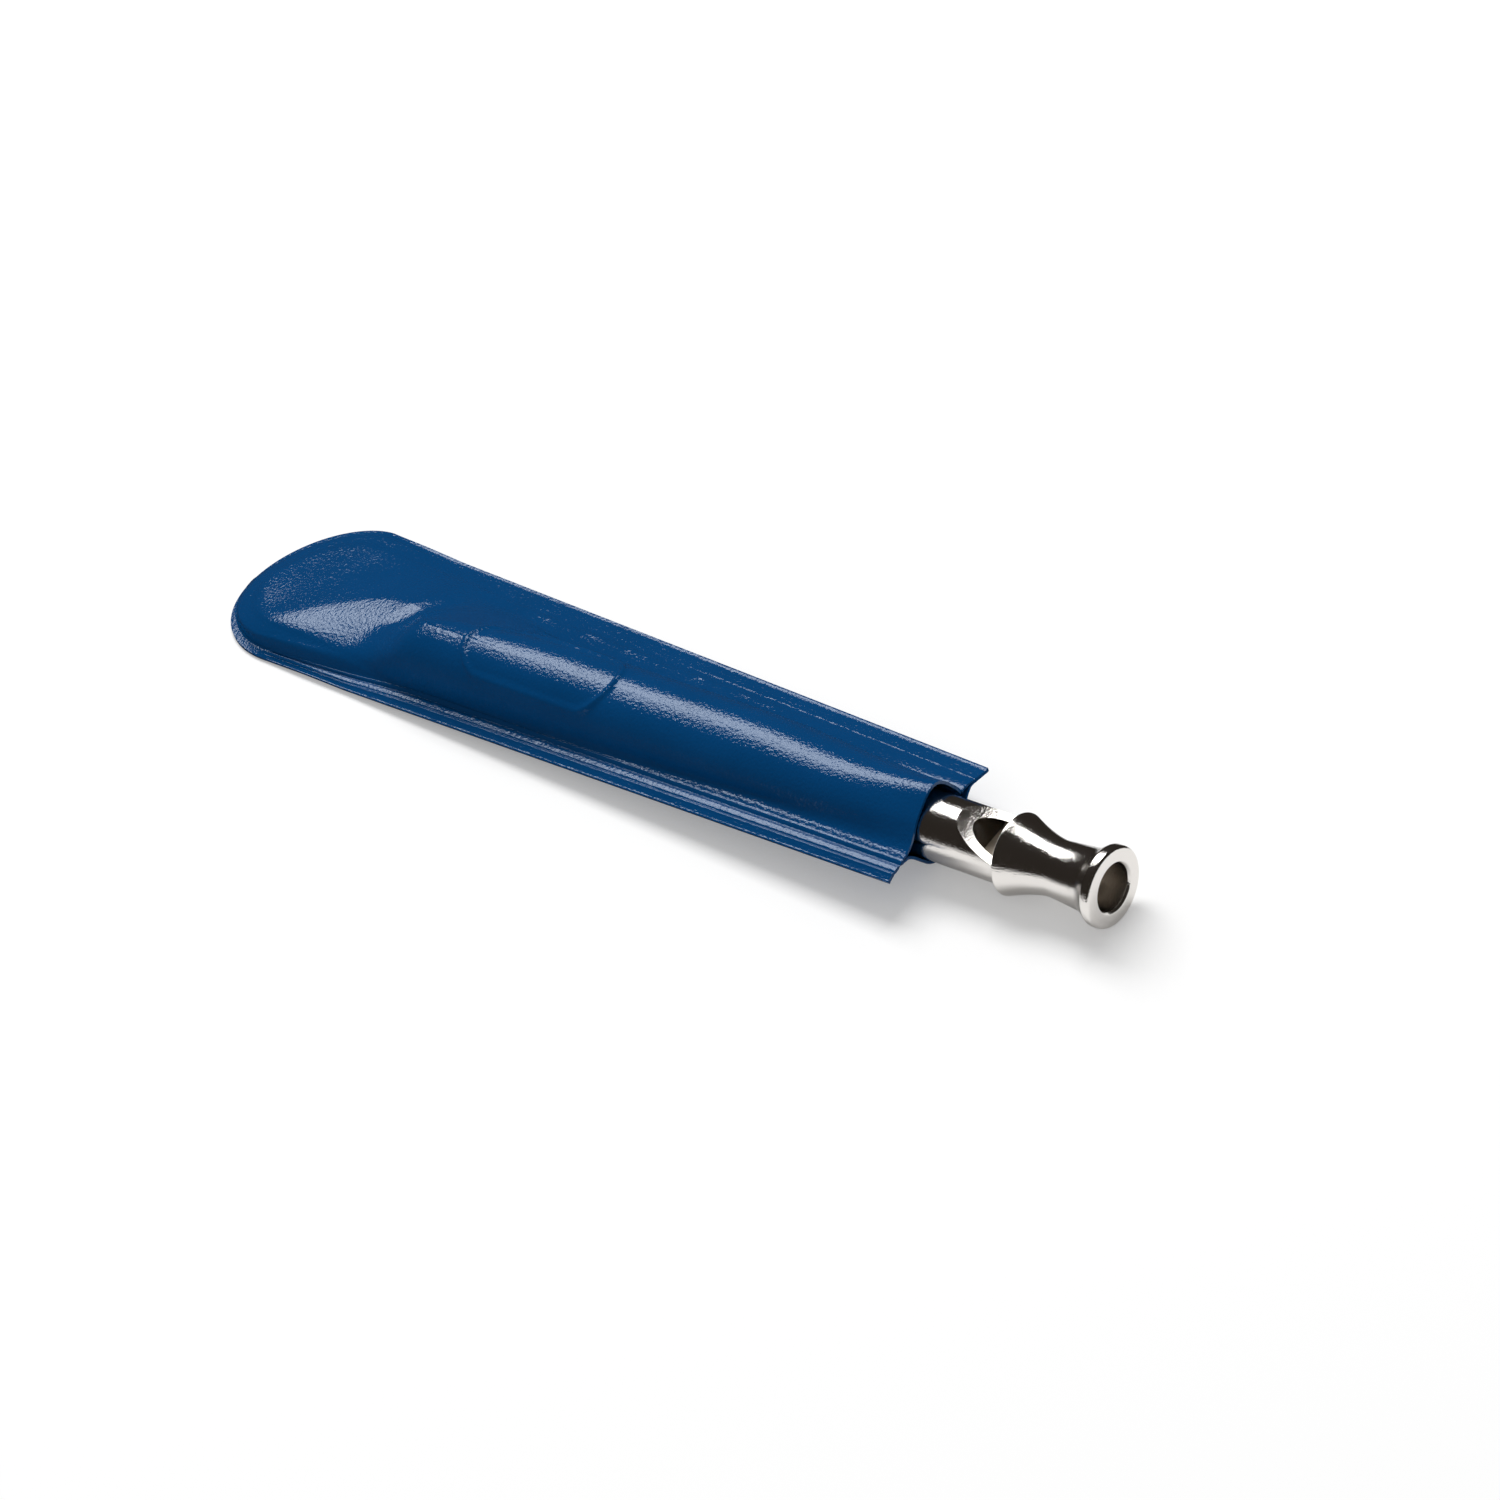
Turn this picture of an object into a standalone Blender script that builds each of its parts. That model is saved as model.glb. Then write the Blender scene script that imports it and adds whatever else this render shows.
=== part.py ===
"""Silent dog whistle with a screw-tuned piston, half drawn out of its welded vinyl sleeve.

The whistle lies along X with its mouthpiece towards +X and its window up. Stations are distances
behind the mouthpiece's flat face. The sleeve's flat end rests on z = 0 around the origin.
"""

import math

import bmesh
import bpy
from mathutils import Vector

MM = 0.001

# Fits: gaps between faces that meet, round fixed fits, running fits and stops.
SEAT_GAP = 0.1 * MM
FIXED_FIT = 0.15 * MM
RUNNING_FIT = 0.1 * MM
STOP_GAP = 0.3 * MM

# Mouthpiece.
MOUTHPIECE_LENGTH = 15.3 * MM
FLANGE_RADIUS = 5.46 * MM
FLANGE_WIDTH = 1.1 * MM
FLANGE_FRONT_ROUND = 0.45 * MM
FLANGE_BACK_ROUND = 0.6 * MM
FLANGE_ROOT_STATION = 3.25 * MM
FLANGE_ROOT_RADIUS = 4.25 * MM
WAIST_STATION = 8.5 * MM
WAIST_RADIUS = 3.75 * MM
RIM_RADIUS = 5.5 * MM
RIM_LAND = 0.3 * MM
BELL_POWER = 1.6
MOUTH_RADIUS = 3.2 * MM
MOUTH_CHAMFER = 0.3 * MM

# Windway block: a plug in the mouthpiece whose tail reaches into the barrel.
BLOCK_STATION = 7.0 * MM
WINDWAY_HEIGHT = 1.3 * MM
TAIL_LENGTH = 5.0 * MM
TAIL_TOP_BELOW_AXIS = 0.6 * MM

# Barrel and its window.
BARREL_LENGTH = 55.0 * MM
BARREL_RADIUS = 4.5 * MM
BORE_RADIUS = 3.5 * MM
WINDOW_LENGTH = 7.8 * MM
WINDOW_DEPTH = 2.95 * MM

# Tuning screw, measured back from the sounding chamber.
CHAMBER_LENGTH = 12.0 * MM
PISTON_LENGTH = 6.0 * MM
SEAL_WIDTH = 1.2 * MM
SEAL_SECTION = 0.8 * MM
NECK_RADIUS = 1.2 * MM
NECK_TIP = 1.3 * MM
CLIP_WIDTH = 0.5 * MM
CLIP_DEPTH = 0.3 * MM
CLIP_RADIUS = 2.2 * MM
SPINDLE_RADIUS = 2.0 * MM
SPINDLE_IN_KNOB = 6.0 * MM
THREAD_PITCH = 0.7 * MM
TURNS_IN = 3.5
TURNS_OUT = 6.0
BUSH_HEAD = 2.0 * MM
BUSH_SPIGOT = 7.0 * MM
NUT_LENGTH = 4.0 * MM
KNOB_LENGTH = 10.0 * MM
GRIP_RADIUS = 4.45 * MM
KNURL_DEPTH = 0.25 * MM
KNURL_COUNT = 30
GRIP_CHAMFER = 0.5 * MM
PIN_RADIUS = 0.75 * MM
PIN_STATION_IN_KNOB = 3.0 * MM
PIN_INSET = 0.5 * MM

# Sleeve.
DRAWN_LENGTH = 28.0 * MM
SHEET = 0.4 * MM
WELD_GAP = 0.2 * MM
WELD_STRIP = 3.8 * MM
FOOT_WIDTH = 0.8 * MM
TIGHTEST_FOOT = 0.15 * MM
SLEEVE_CLEARANCE = 0.3 * MM
MOUTH_GAPE = 0.9 * MM
GAPE_LENGTH = 16.0 * MM
MOUTH_HALF_WIDTH = 11.05 * MM
END_HALF_WIDTH = 14.0 * MM
MOUTH_OFFSET = 0.15 * MM
SLEEVE_SKEW = math.radians(3.05)
END_LEAN = 2.9 * MM
END_LEAN_POWER = 1.3
SEAM_HEIGHT_AT_MOUTH = 5.4 * MM
TAPER_LENGTH = 22.0 * MM
FLAT_END = 28.8 * MM
PILLOW_HEIGHT = 2.2 * MM
PILLOW_FADE = 14.0 * MM
END_WELD = 2.5 * MM
REST_INSET = 19.3 * MM

# Facets.
ROUND_SEGMENTS = 48
ROD_SEGMENTS = 24
ARC_STEPS = 4
BELL_STEPS = 8
SHEET_ROWS = 28
CAP_ROWS = 7
CAP_END_ANGLE = math.radians(84.0)
ROW_CROWDING = 1.15
DRAPE_ARC_STEPS = 6
DRAPE_FLANK_STEPS = 3
LATEST_LEAVE = math.radians(88.0)
SHARPEST_MITRE = 0.5

# Sizes that follow from the ones above.
TRAVEL_IN = TURNS_IN * THREAD_PITCH
TRAVEL_OUT = TURNS_OUT * THREAD_PITCH
BARREL_FRONT = MOUTHPIECE_LENGTH + SEAT_GAP
BARREL_BACK = BARREL_FRONT + BARREL_LENGTH
BUSH_BACK = BARREL_BACK + SEAT_GAP + BUSH_HEAD
NUT_FRONT = BUSH_BACK + SEAT_GAP
KNOB_FRONT = NUT_FRONT + NUT_LENGTH + TRAVEL_IN + STOP_GAP
KNOB_BACK = KNOB_FRONT + KNOB_LENGTH
PISTON_FRONT = MOUTHPIECE_LENGTH + CHAMBER_LENGTH
PISTON_RADIUS = BORE_RADIUS - 2.0 * RUNNING_FIT
SEAL_RADIUS = BORE_RADIUS - RUNNING_FIT
SPINDLE_BORE = SPINDLE_RADIUS + RUNNING_FIT
PUSH_IN = DRAWN_LENGTH - MOUTHPIECE_LENGTH - STOP_GAP
DRAPE_RADIUS = max(BARREL_RADIUS, GRIP_RADIUS) + SLEEVE_CLEARANCE
AXIS_HEIGHT = max(RIM_RADIUS, FLANGE_RADIUS, DRAPE_RADIUS + SHEET)
POCKET_LENGTH = KNOB_BACK + TRAVEL_OUT + PUSH_IN + STOP_GAP - DRAWN_LENGTH
SLEEVE_LENGTH = POCKET_LENGTH + TAPER_LENGTH + FLAT_END
FLAT_SEAM_HEIGHT = SHEET + WELD_GAP / 2.0
MOUTH_X = SLEEVE_LENGTH - REST_INSET
FACE_X = MOUTH_X + DRAWN_LENGTH


def clear_scene():
    for old in list(bpy.data.objects):
        bpy.data.objects.remove(old)


def material(name, colour, roughness, metallic):
    made = bpy.data.materials.new(name)
    made.use_nodes = True
    surface = made.node_tree.nodes["Principled BSDF"]
    surface.inputs["Base Color"].default_value = (*colour, 1.0)
    surface.inputs["Roughness"].default_value = roughness
    surface.inputs["Metallic"].default_value = metallic
    return made


def empty(name, location, parent=None):
    made = bpy.data.objects.new(name, None)
    made.location = location
    made.parent = parent
    bpy.context.collection.objects.link(made)
    return made


def add_object(name, shape, finish, parent=None, location=(0.0, 0.0, 0.0), sharp=30.0):
    """Turn a finished bmesh into a named object with outward faces and smooth round sides."""
    bmesh.ops.recalc_face_normals(shape, faces=shape.faces)
    mesh = bpy.data.meshes.new(name)
    shape.to_mesh(mesh)
    shape.free()
    mesh.shade_smooth()
    mesh.set_sharp_from_angle(angle=math.radians(sharp))
    if finish:
        mesh.materials.append(finish)
    made = bpy.data.objects.new(name, mesh)
    made.parent = parent
    made.location = location
    bpy.context.collection.objects.link(made)
    return made


def turned(outline, segments=ROUND_SEGMENTS, ripple=None):
    """Spin a closed outline of (station, radius) points about X.

    ripple, if given, is a function of the angle that is taken off the outline's largest radius.
    """
    shape = bmesh.new()
    verts = [shape.verts.new((station, 0.0, radius)) for station, radius in outline]
    edges = [shape.edges.new((a, b)) for a, b in zip(verts, verts[1:] + verts[:1])
             if a.co.z > 0.0 or b.co.z > 0.0]
    bmesh.ops.spin(shape, geom=verts + edges, cent=(0, 0, 0), axis=(1, 0, 0),
                   angle=math.tau, steps=segments, use_merge=True)
    bmesh.ops.remove_doubles(shape, verts=shape.verts, dist=1e-7)
    if ripple:
        largest = max(radius for _, radius in outline)
        for vert in shape.verts:
            radius = math.hypot(vert.co.y, vert.co.z)
            if radius > largest - KNURL_DEPTH:
                reduced = (radius - ripple(math.atan2(vert.co.y, vert.co.z))) / radius
                vert.co.y *= reduced
                vert.co.z *= reduced
    return shape


def arc(centre, radius, start, end, steps=ARC_STEPS):
    """Points of (station, radius) on an arc, with angles measured from the +station direction."""
    angles = [start + (end - start) * i / steps for i in range(steps + 1)]
    return [(centre[0] + radius * math.cos(a), centre[1] + radius * math.sin(a)) for a in angles]


def prism(outline, half_width):
    """A solid with an outline in the plane of station and height, extruded across Y."""
    shape = bmesh.new()
    face = shape.faces.new([shape.verts.new((s, -half_width, z)) for s, z in outline])
    grown = bmesh.ops.extrude_face_region(shape, geom=[face])
    moved = [item for item in grown["geom"] if isinstance(item, bmesh.types.BMVert)]
    bmesh.ops.translate(shape, verts=moved, vec=(0.0, 2.0 * half_width, 0.0))
    return shape


def rod_across(radius, length, station):
    """A round rod along Y that crosses the axis at a station."""
    shape = bmesh.new()
    bmesh.ops.create_cone(shape, cap_ends=True, segments=ROD_SEGMENTS, radius1=radius,
                          radius2=radius, depth=length)
    for vert in shape.verts:
        x, y, z = vert.co
        vert.co = Vector((x + station, z, -y))
    return shape


def cut(target, name, shape, parent, location=(0.0, 0.0, 0.0)):
    """Take a cutter's volume away from an object."""
    cutter = add_object(name, shape, None, parent, location)
    cutter.hide_render = True
    cutter.display_type = "WIRE"
    knife = target.modifiers.new(name, "BOOLEAN")
    knife.operation = "DIFFERENCE"
    knife.solver = "EXACT"
    knife.object = cutter


def mouthpiece_outline():
    front = arc((FLANGE_FRONT_ROUND, FLANGE_RADIUS - FLANGE_FRONT_ROUND), FLANGE_FRONT_ROUND,
                math.pi, math.pi / 2)
    back = arc((FLANGE_WIDTH, FLANGE_RADIUS - FLANGE_BACK_ROUND), FLANGE_BACK_ROUND,
               math.pi / 2, math.pi / 5)
    bell_end = MOUTHPIECE_LENGTH - RIM_LAND
    bell = []
    for i in range(BELL_STEPS + 1):
        t = i / BELL_STEPS
        bell.append((WAIST_STATION + (bell_end - WAIST_STATION) * t,
                     WAIST_RADIUS + (RIM_RADIUS - WAIST_RADIUS) * t ** BELL_POWER))
    mouth = [(MOUTHPIECE_LENGTH, RIM_RADIUS), (MOUTHPIECE_LENGTH, MOUTH_RADIUS),
             (MOUTH_CHAMFER, MOUTH_RADIUS), (0.0, MOUTH_RADIUS + MOUTH_CHAMFER)]
    return front + back + [(FLANGE_ROOT_STATION, FLANGE_ROOT_RADIUS)] + bell + mouth


def make_blowing_end(whistle, plated, brass):
    """The mouthpiece, the windway block inside it and the barrel with its window."""
    add_object("mouthpiece", turned(mouthpiece_outline()), plated, whistle)

    plug = MOUTH_RADIUS - FIXED_FIT
    tail = BORE_RADIUS - FIXED_FIT
    step = BARREL_FRONT - BLOCK_STATION
    end = step + TAIL_LENGTH
    block = add_object("windway_block",
                       turned([(0, 0), (0, plug), (step, plug), (step, tail), (end, tail), (end, 0)]),
                       brass, whistle, (BLOCK_STATION, 0, 0))
    over = 2.0 * BORE_RADIUS
    windway_floor = MOUTH_RADIUS - WINDWAY_HEIGHT
    slit_end = MOUTHPIECE_LENGTH - BLOCK_STATION
    removed = [(-over, windway_floor), (slit_end, windway_floor), (slit_end, -TAIL_TOP_BELOW_AXIS),
               (end + over, -TAIL_TOP_BELOW_AXIS), (end + over, over), (-over, over)]
    cut(block, "windway_cutter", prism(removed, over), whistle, (BLOCK_STATION, 0, 0))

    barrel = add_object("barrel",
                        turned([(0, BORE_RADIUS), (0, BARREL_RADIUS), (BARREL_LENGTH, BARREL_RADIUS),
                                (BARREL_LENGTH, BORE_RADIUS)]),
                        plated, whistle, (BARREL_FRONT, 0, 0))
    slope = WINDOW_DEPTH / WINDOW_LENGTH
    past = 2.0 * WINDOW_DEPTH
    wedge = [(-past, BARREL_RADIUS - WINDOW_DEPTH - slope * past),
             (WINDOW_LENGTH + past, BARREL_RADIUS + slope * past), (-past, BARREL_RADIUS + slope * past)]
    cut(barrel, "window_cutter", prism(wedge, 2.0 * BARREL_RADIUS), whistle, (BARREL_FRONT, 0, 0))


def make_piston(tuning, brass, rubber):
    """The piston with its seal in a groove, drawn from its front face."""
    hole = NECK_RADIUS + RUNNING_FIT
    middle = PISTON_LENGTH / 2.0
    half_groove = SEAL_WIDTH / 2.0 + RUNNING_FIT
    floor = SEAL_RADIUS - SEAL_SECTION - RUNNING_FIT
    outline = [(0, hole), (0, PISTON_RADIUS), (middle - half_groove, PISTON_RADIUS),
               (middle - half_groove, floor), (middle + half_groove, floor),
               (middle + half_groove, PISTON_RADIUS), (PISTON_LENGTH, PISTON_RADIUS),
               (PISTON_LENGTH, hole)]
    add_object("tuning_piston", turned(outline, ROD_SEGMENTS), brass, tuning)

    half = SEAL_WIDTH / 2.0
    crown = arc((middle, SEAL_RADIUS - half), half, math.pi, 0.0)
    inner = SEAL_RADIUS - SEAL_SECTION
    ring = [(s, max(r, inner)) for s, r in crown] + [(middle + half, inner), (middle - half, inner)]
    add_object("piston_seal", turned(ring, ROD_SEGMENTS), rubber, tuning)


def make_spindle(turning, steel):
    """The tuning screw with its necked tip, and the clip that keeps the piston on it.

    Both are drawn from the piston's front face.
    """
    groove_back = -STOP_GAP / 2.0
    groove_front = groove_back - CLIP_WIDTH - STOP_GAP / 2.0
    groove_radius = NECK_RADIUS - CLIP_DEPTH
    shoulder = PISTON_LENGTH + SEAT_GAP
    end = KNOB_FRONT + SPINDLE_IN_KNOB - PISTON_FRONT
    outline = [(-NECK_TIP, 0), (-NECK_TIP, NECK_RADIUS), (groove_front, NECK_RADIUS),
               (groove_front, groove_radius), (groove_back, groove_radius),
               (groove_back, NECK_RADIUS), (shoulder, NECK_RADIUS), (shoulder, SPINDLE_RADIUS),
               (end, SPINDLE_RADIUS), (end, 0)]
    spindle = add_object("tuning_spindle", turned(outline, ROD_SEGMENTS), steel, turning)
    pin_station = KNOB_FRONT + PIN_STATION_IN_KNOB - PISTON_FRONT
    cut(spindle, "spindle_pin_cutter",
        rod_across(PIN_RADIUS + RUNNING_FIT, 4.0 * SPINDLE_RADIUS, pin_station), turning)

    clip_front = groove_front + STOP_GAP / 4.0
    clip_back = clip_front + CLIP_WIDTH
    hole = groove_radius + RUNNING_FIT
    clip = add_object("piston_clip",
                      turned([(clip_front, hole), (clip_front, CLIP_RADIUS), (clip_back, CLIP_RADIUS),
                              (clip_back, hole)], ROD_SEGMENTS), steel, turning)
    mouth = [(clip_front - CLIP_WIDTH, 0.0), (clip_back + CLIP_WIDTH, 0.0),
             (clip_back + CLIP_WIDTH, 2.0 * CLIP_RADIUS), (clip_front - CLIP_WIDTH, 2.0 * CLIP_RADIUS)]
    cut(clip, "clip_mouth_cutter", prism(mouth, groove_radius), turning)


def knurl(angle):
    """How far a knurled grip's surface lies inside its full radius: a crest, then a groove."""
    return KNURL_DEPTH / 2.0 * (1.0 - math.cos(KNURL_COUNT * angle))


def grip_outline(length, hole, blind=None):
    """A grip's outline with chamfered ends; a blind hole is that deep from the front."""
    crest = GRIP_RADIUS
    low = GRIP_RADIUS - GRIP_CHAMFER
    sides = [(0, hole), (0, low), (GRIP_CHAMFER, crest), (length - GRIP_CHAMFER, crest), (length, low)]
    if blind is None:
        return sides + [(length, hole)]
    return sides + [(length, 0), (blind, 0), (blind, hole)]


def make_tail(whistle, nut_axis, turning, plated, steel):
    """The bush in the barrel's end, the lock nut behind it and the knob with its cross pin."""
    inside = BORE_RADIUS - FIXED_FIT
    face = BUSH_SPIGOT
    bush = [(0, SPINDLE_BORE), (0, inside), (face, inside), (face, BARREL_RADIUS),
            (face + BUSH_HEAD, BARREL_RADIUS), (face + BUSH_HEAD, SPINDLE_BORE)]
    add_object("end_bush", turned(bush), plated, whistle,
               (BARREL_BACK + SEAT_GAP - BUSH_SPIGOT, 0, 0))

    around = 2 * KNURL_COUNT
    add_object("lock_nut", turned(grip_outline(NUT_LENGTH, SPINDLE_BORE), around, knurl), plated, nut_axis)

    blind = SPINDLE_IN_KNOB + STOP_GAP
    seat = (KNOB_FRONT - PISTON_FRONT, 0, 0)
    knob = add_object("tuning_knob", turned(grip_outline(KNOB_LENGTH, SPINDLE_BORE, blind), around, knurl),
                      plated, turning, seat)
    cut(knob, "knob_pin_cutter",
        rod_across(PIN_RADIUS + RUNNING_FIT, 4.0 * GRIP_RADIUS, PIN_STATION_IN_KNOB), turning, seat)
    add_object("knob_pin", rod_across(PIN_RADIUS, 2.0 * (GRIP_RADIUS - PIN_INSET), PIN_STATION_IN_KNOB),
               steel, turning, seat)


def smooth(t):
    """Ease from 0 to 1 as t does, level at both ends."""
    t = min(max(t, 0.0), 1.0)
    return t * t * (3.0 - 2.0 * t)


def sleeve_middle(distance):
    """Where the sleeve's centre line lies across the whistle, at a distance behind the mouth.

    It is straight as far as the round end, which is cut a little askew.
    """
    round_end = max(distance - SLEEVE_LENGTH + END_HALF_WIDTH, 0.0) / END_HALF_WIDTH
    return MOUTH_OFFSET + distance * math.tan(SLEEVE_SKEW) - END_LEAN * round_end ** END_LEAN_POWER


def sleeve_half_width(distance):
    """The sleeve widens evenly from its mouth to a full round end."""
    straight = SLEEVE_LENGTH - END_HALF_WIDTH
    if distance <= straight:
        return MOUTH_HALF_WIDTH + (END_HALF_WIDTH - MOUTH_HALF_WIDTH) * distance / straight
    across = (distance - straight) / END_HALF_WIDTH
    return END_HALF_WIDTH * math.sqrt(max(1.0 - across * across, 0.0))


def seam_height(distance):
    """The weld's middle plane falls straight from the mouth to the flat end, and is level there."""
    left = max(1.0 - distance / (POCKET_LENGTH + TAPER_LENGTH), 0.0)
    return FLAT_SEAM_HEIGHT + (SEAM_HEIGHT_AT_MOUTH - FLAT_SEAM_HEIGHT) * left


def drape(edge, seam, lift):
    """Half a sheet's section over the whistle, which stands that much taller where the mouth gapes.

    The sheet lies on the round from the crown to the point where it leaves as a tangent for the
    flank's foot, next to the weld's inner edge. Points are (across, height), both from the axis,
    height away from it.
    """
    foot = max(edge - FOOT_WIDTH, min(edge - TIGHTEST_FOOT, DRAPE_RADIUS))
    reach = max(math.hypot(foot, seam), DRAPE_RADIUS)
    leave = min(math.atan2(seam, foot) + math.acos(DRAPE_RADIUS / reach), LATEST_LEAVE)
    points = []
    for i in range(DRAPE_ARC_STEPS + 1):
        angle = math.pi / 2 + (leave - math.pi / 2) * i / DRAPE_ARC_STEPS
        points.append(Vector((DRAPE_RADIUS * math.cos(angle), (DRAPE_RADIUS + lift) * math.sin(angle))))
    tangent = points[-1]
    for i in range(1, DRAPE_FLANK_STEPS):
        points.append(tangent.lerp(Vector((foot, seam)), i / (DRAPE_FLANK_STEPS - 1)))
    return points + [Vector((edge, seam))]


def sheet_section(distance, side):
    """A sheet's inner surface across the sleeve, as (y, z) points; side is 1 on top and -1 below.

    Beyond the pocket the draped section eases into a low pillow, level with the weld underneath.
    """
    middle = sleeve_middle(distance)
    half = sleeve_half_width(distance)
    strip = min(WELD_STRIP, half / 2.0)
    level = seam_height(distance) + side * WELD_GAP / 2.0
    gape = MOUTH_GAPE * (1.0 - smooth(distance / GAPE_LENGTH)) if side > 0 else 0.0
    fullness = smooth((POCKET_LENGTH + TAPER_LENGTH - distance) / TAPER_LENGTH)
    puff = smooth((SLEEVE_LENGTH - END_WELD - distance) / PILLOW_FADE) if side > 0 else 0.0
    steps = DRAPE_ARC_STEPS + DRAPE_FLANK_STEPS
    halves = []
    for across in (-1, 1):
        weld = middle + across * (half - strip)
        points = []
        for t in (i / steps for i in range(steps + 1)):
            crown = PILLOW_HEIGHT * puff * (1.0 - t * t)
            points.append(Vector((middle + (weld - middle) * t, level + crown)))
        if fullness > 0.0:
            draped = drape(across * weld, side * (level - AXIS_HEIGHT), gape)
            full = [Vector((across * y, AXIS_HEIGHT + side * z)) for y, z in draped]
            points = [low.lerp(high, fullness) for low, high in zip(points, full)]
        points.append(Vector((middle + across * half, level)))
        halves.append(points)
    near, far = halves
    return near[:0:-1] + far


def thickened(section, side):
    """The section moved outwards by the sheet's thickness, mitred where it bends."""
    normals = []
    for a, b in zip(section, section[1:]):
        run = (b - a).normalized()
        normals.append(side * Vector((-run.y, run.x)))
    moved = []
    for i, point in enumerate(section):
        before = normals[max(i - 1, 0)]
        after = normals[min(i, len(normals) - 1)]
        bisector = (before + after).normalized()
        moved.append(point + bisector * SHEET / max(bisector.dot(after), SHARPEST_MITRE))
    return moved


def sleeve_distances():
    """Distances behind the mouth: close rows at the gaping mouth, then wider, then round the end."""
    straight = SLEEVE_LENGTH - END_HALF_WIDTH
    rows = [straight * (i / SHEET_ROWS) ** ROW_CROWDING for i in range(SHEET_ROWS + 1)]
    for i in range(1, CAP_ROWS + 1):
        rows.append(straight + END_HALF_WIDTH * math.sin(CAP_END_ANGLE * i / CAP_ROWS))
    return rows


def make_sheet(name, side, vinyl):
    """A sheet of the sleeve: rings round its section, joined from the mouth to the round end."""
    shape = bmesh.new()
    rings = []
    for distance in sleeve_distances():
        inner = sheet_section(distance, side)
        outer = thickened(inner, side)
        ring = [shape.verts.new((MOUTH_X - distance, y, z)) for y, z in outer + inner[::-1]]
        rings.append(ring)
    for ring, following in zip(rings, rings[1:]):
        for i in range(len(ring)):
            shape.faces.new((ring[i - 1], ring[i], following[i], following[i - 1]))
    for ring in (rings[0], rings[-1]):
        for i in range(len(ring) // 2 - 1):
            shape.faces.new((ring[i], ring[i + 1], ring[-2 - i], ring[-1 - i]))
    add_object(name, shape, vinyl)


def main():
    clear_scene()
    plated = material("plated_metal", (0.78, 0.77, 0.75), 0.12, 1.0)
    brass = material("dull_brass", (0.62, 0.52, 0.36), 0.35, 1.0)
    steel = material("steel", (0.56, 0.56, 0.57), 0.28, 1.0)
    rubber = material("black_rubber", (0.02, 0.02, 0.02), 0.7, 0.0)
    vinyl = material("blue_vinyl", (0.003, 0.05, 0.19), 0.38, 0.0)

    whistle = empty("whistle_axis", (FACE_X, 0.0, AXIS_HEIGHT))
    whistle.rotation_euler = (0.0, 0.0, math.pi)
    tuning = empty("piston_axis", (PISTON_FRONT, 0.0, 0.0), whistle)
    turning = empty("spindle_axis", (0.0, 0.0, 0.0), tuning)
    nut_axis = empty("nut_axis", (NUT_FRONT, 0.0, 0.0), whistle)

    make_blowing_end(whistle, plated, brass)
    make_piston(tuning, brass, rubber)
    make_spindle(turning, steel)
    make_tail(whistle, nut_axis, turning, plated, steel)
    make_sheet("sleeve_top_sheet", 1, vinyl)
    make_sheet("sleeve_bottom_sheet", -1, vinyl)
    bpy.context.view_layer.update()


main()
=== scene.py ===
# %% [markdown]
# # A dog whistle partly drawn out of its vinyl sleeve
#
# The real object is a small turned whistle with polished plating, kept in a soft sleeve that is welded
# from two sheets of blue vinyl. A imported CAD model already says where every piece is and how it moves.
# This script keeps those places and gives each piece the shape and surface that the eye expects: round
# edges that catch the light, a thread, knurled grips, and a sleeve that sags over what it holds.
#
# Lengths of the object are millimetres, and `MM` turns them into metres. The studio is in metres.

import math

import bmesh
import bpy
from mathutils import Matrix, Vector, noise


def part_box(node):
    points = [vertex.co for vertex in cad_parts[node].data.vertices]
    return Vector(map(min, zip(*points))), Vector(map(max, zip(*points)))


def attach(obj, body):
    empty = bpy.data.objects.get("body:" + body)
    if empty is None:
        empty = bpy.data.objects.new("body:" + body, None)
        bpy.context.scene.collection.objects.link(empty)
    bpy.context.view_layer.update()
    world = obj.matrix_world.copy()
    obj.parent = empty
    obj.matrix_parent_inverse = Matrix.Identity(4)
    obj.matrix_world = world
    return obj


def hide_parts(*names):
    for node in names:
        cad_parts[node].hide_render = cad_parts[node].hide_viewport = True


MM = 0.001

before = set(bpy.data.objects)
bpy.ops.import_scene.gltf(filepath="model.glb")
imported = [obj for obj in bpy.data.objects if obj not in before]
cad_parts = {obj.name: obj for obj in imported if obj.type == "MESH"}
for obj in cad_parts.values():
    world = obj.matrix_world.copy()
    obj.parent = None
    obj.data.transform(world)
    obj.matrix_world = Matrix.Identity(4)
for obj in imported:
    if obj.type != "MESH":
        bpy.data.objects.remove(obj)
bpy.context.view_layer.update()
face_low, face_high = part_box("mouthpiece")
FACE_X = face_high.x
AXIS_Z = (face_low.z + face_high.z) / 2
print("nodes:", len(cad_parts))
print("mouthpiece face at x = %.2f mm, axis at z = %.2f mm" % (FACE_X / MM, AXIS_Z / MM))

# %% [markdown]
# ## Camera
#
# The photograph was taken with a long lens from the front, the right and above. A camera could be moved
# by eye until the picture fits, but on a long thin object small errors add up. So its place was found by
# fitting the two circles of the mouthpiece, and it is given here from the middle of the mouthpiece's flat
# face. The picture is rolled: the sleeve runs downhill to the right.

# %% Camera at the photograph's place
LENS = 132
SENSOR = 36
CAMERA_FROM_FACE = Vector((0.3629, -0.3408, 0.4734))
CAMERA_RIGHT = Vector((0.7641, 0.5927, -0.2549))
CAMERA_BACK = Vector((0.5869, -0.4744, 0.6561))

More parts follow.
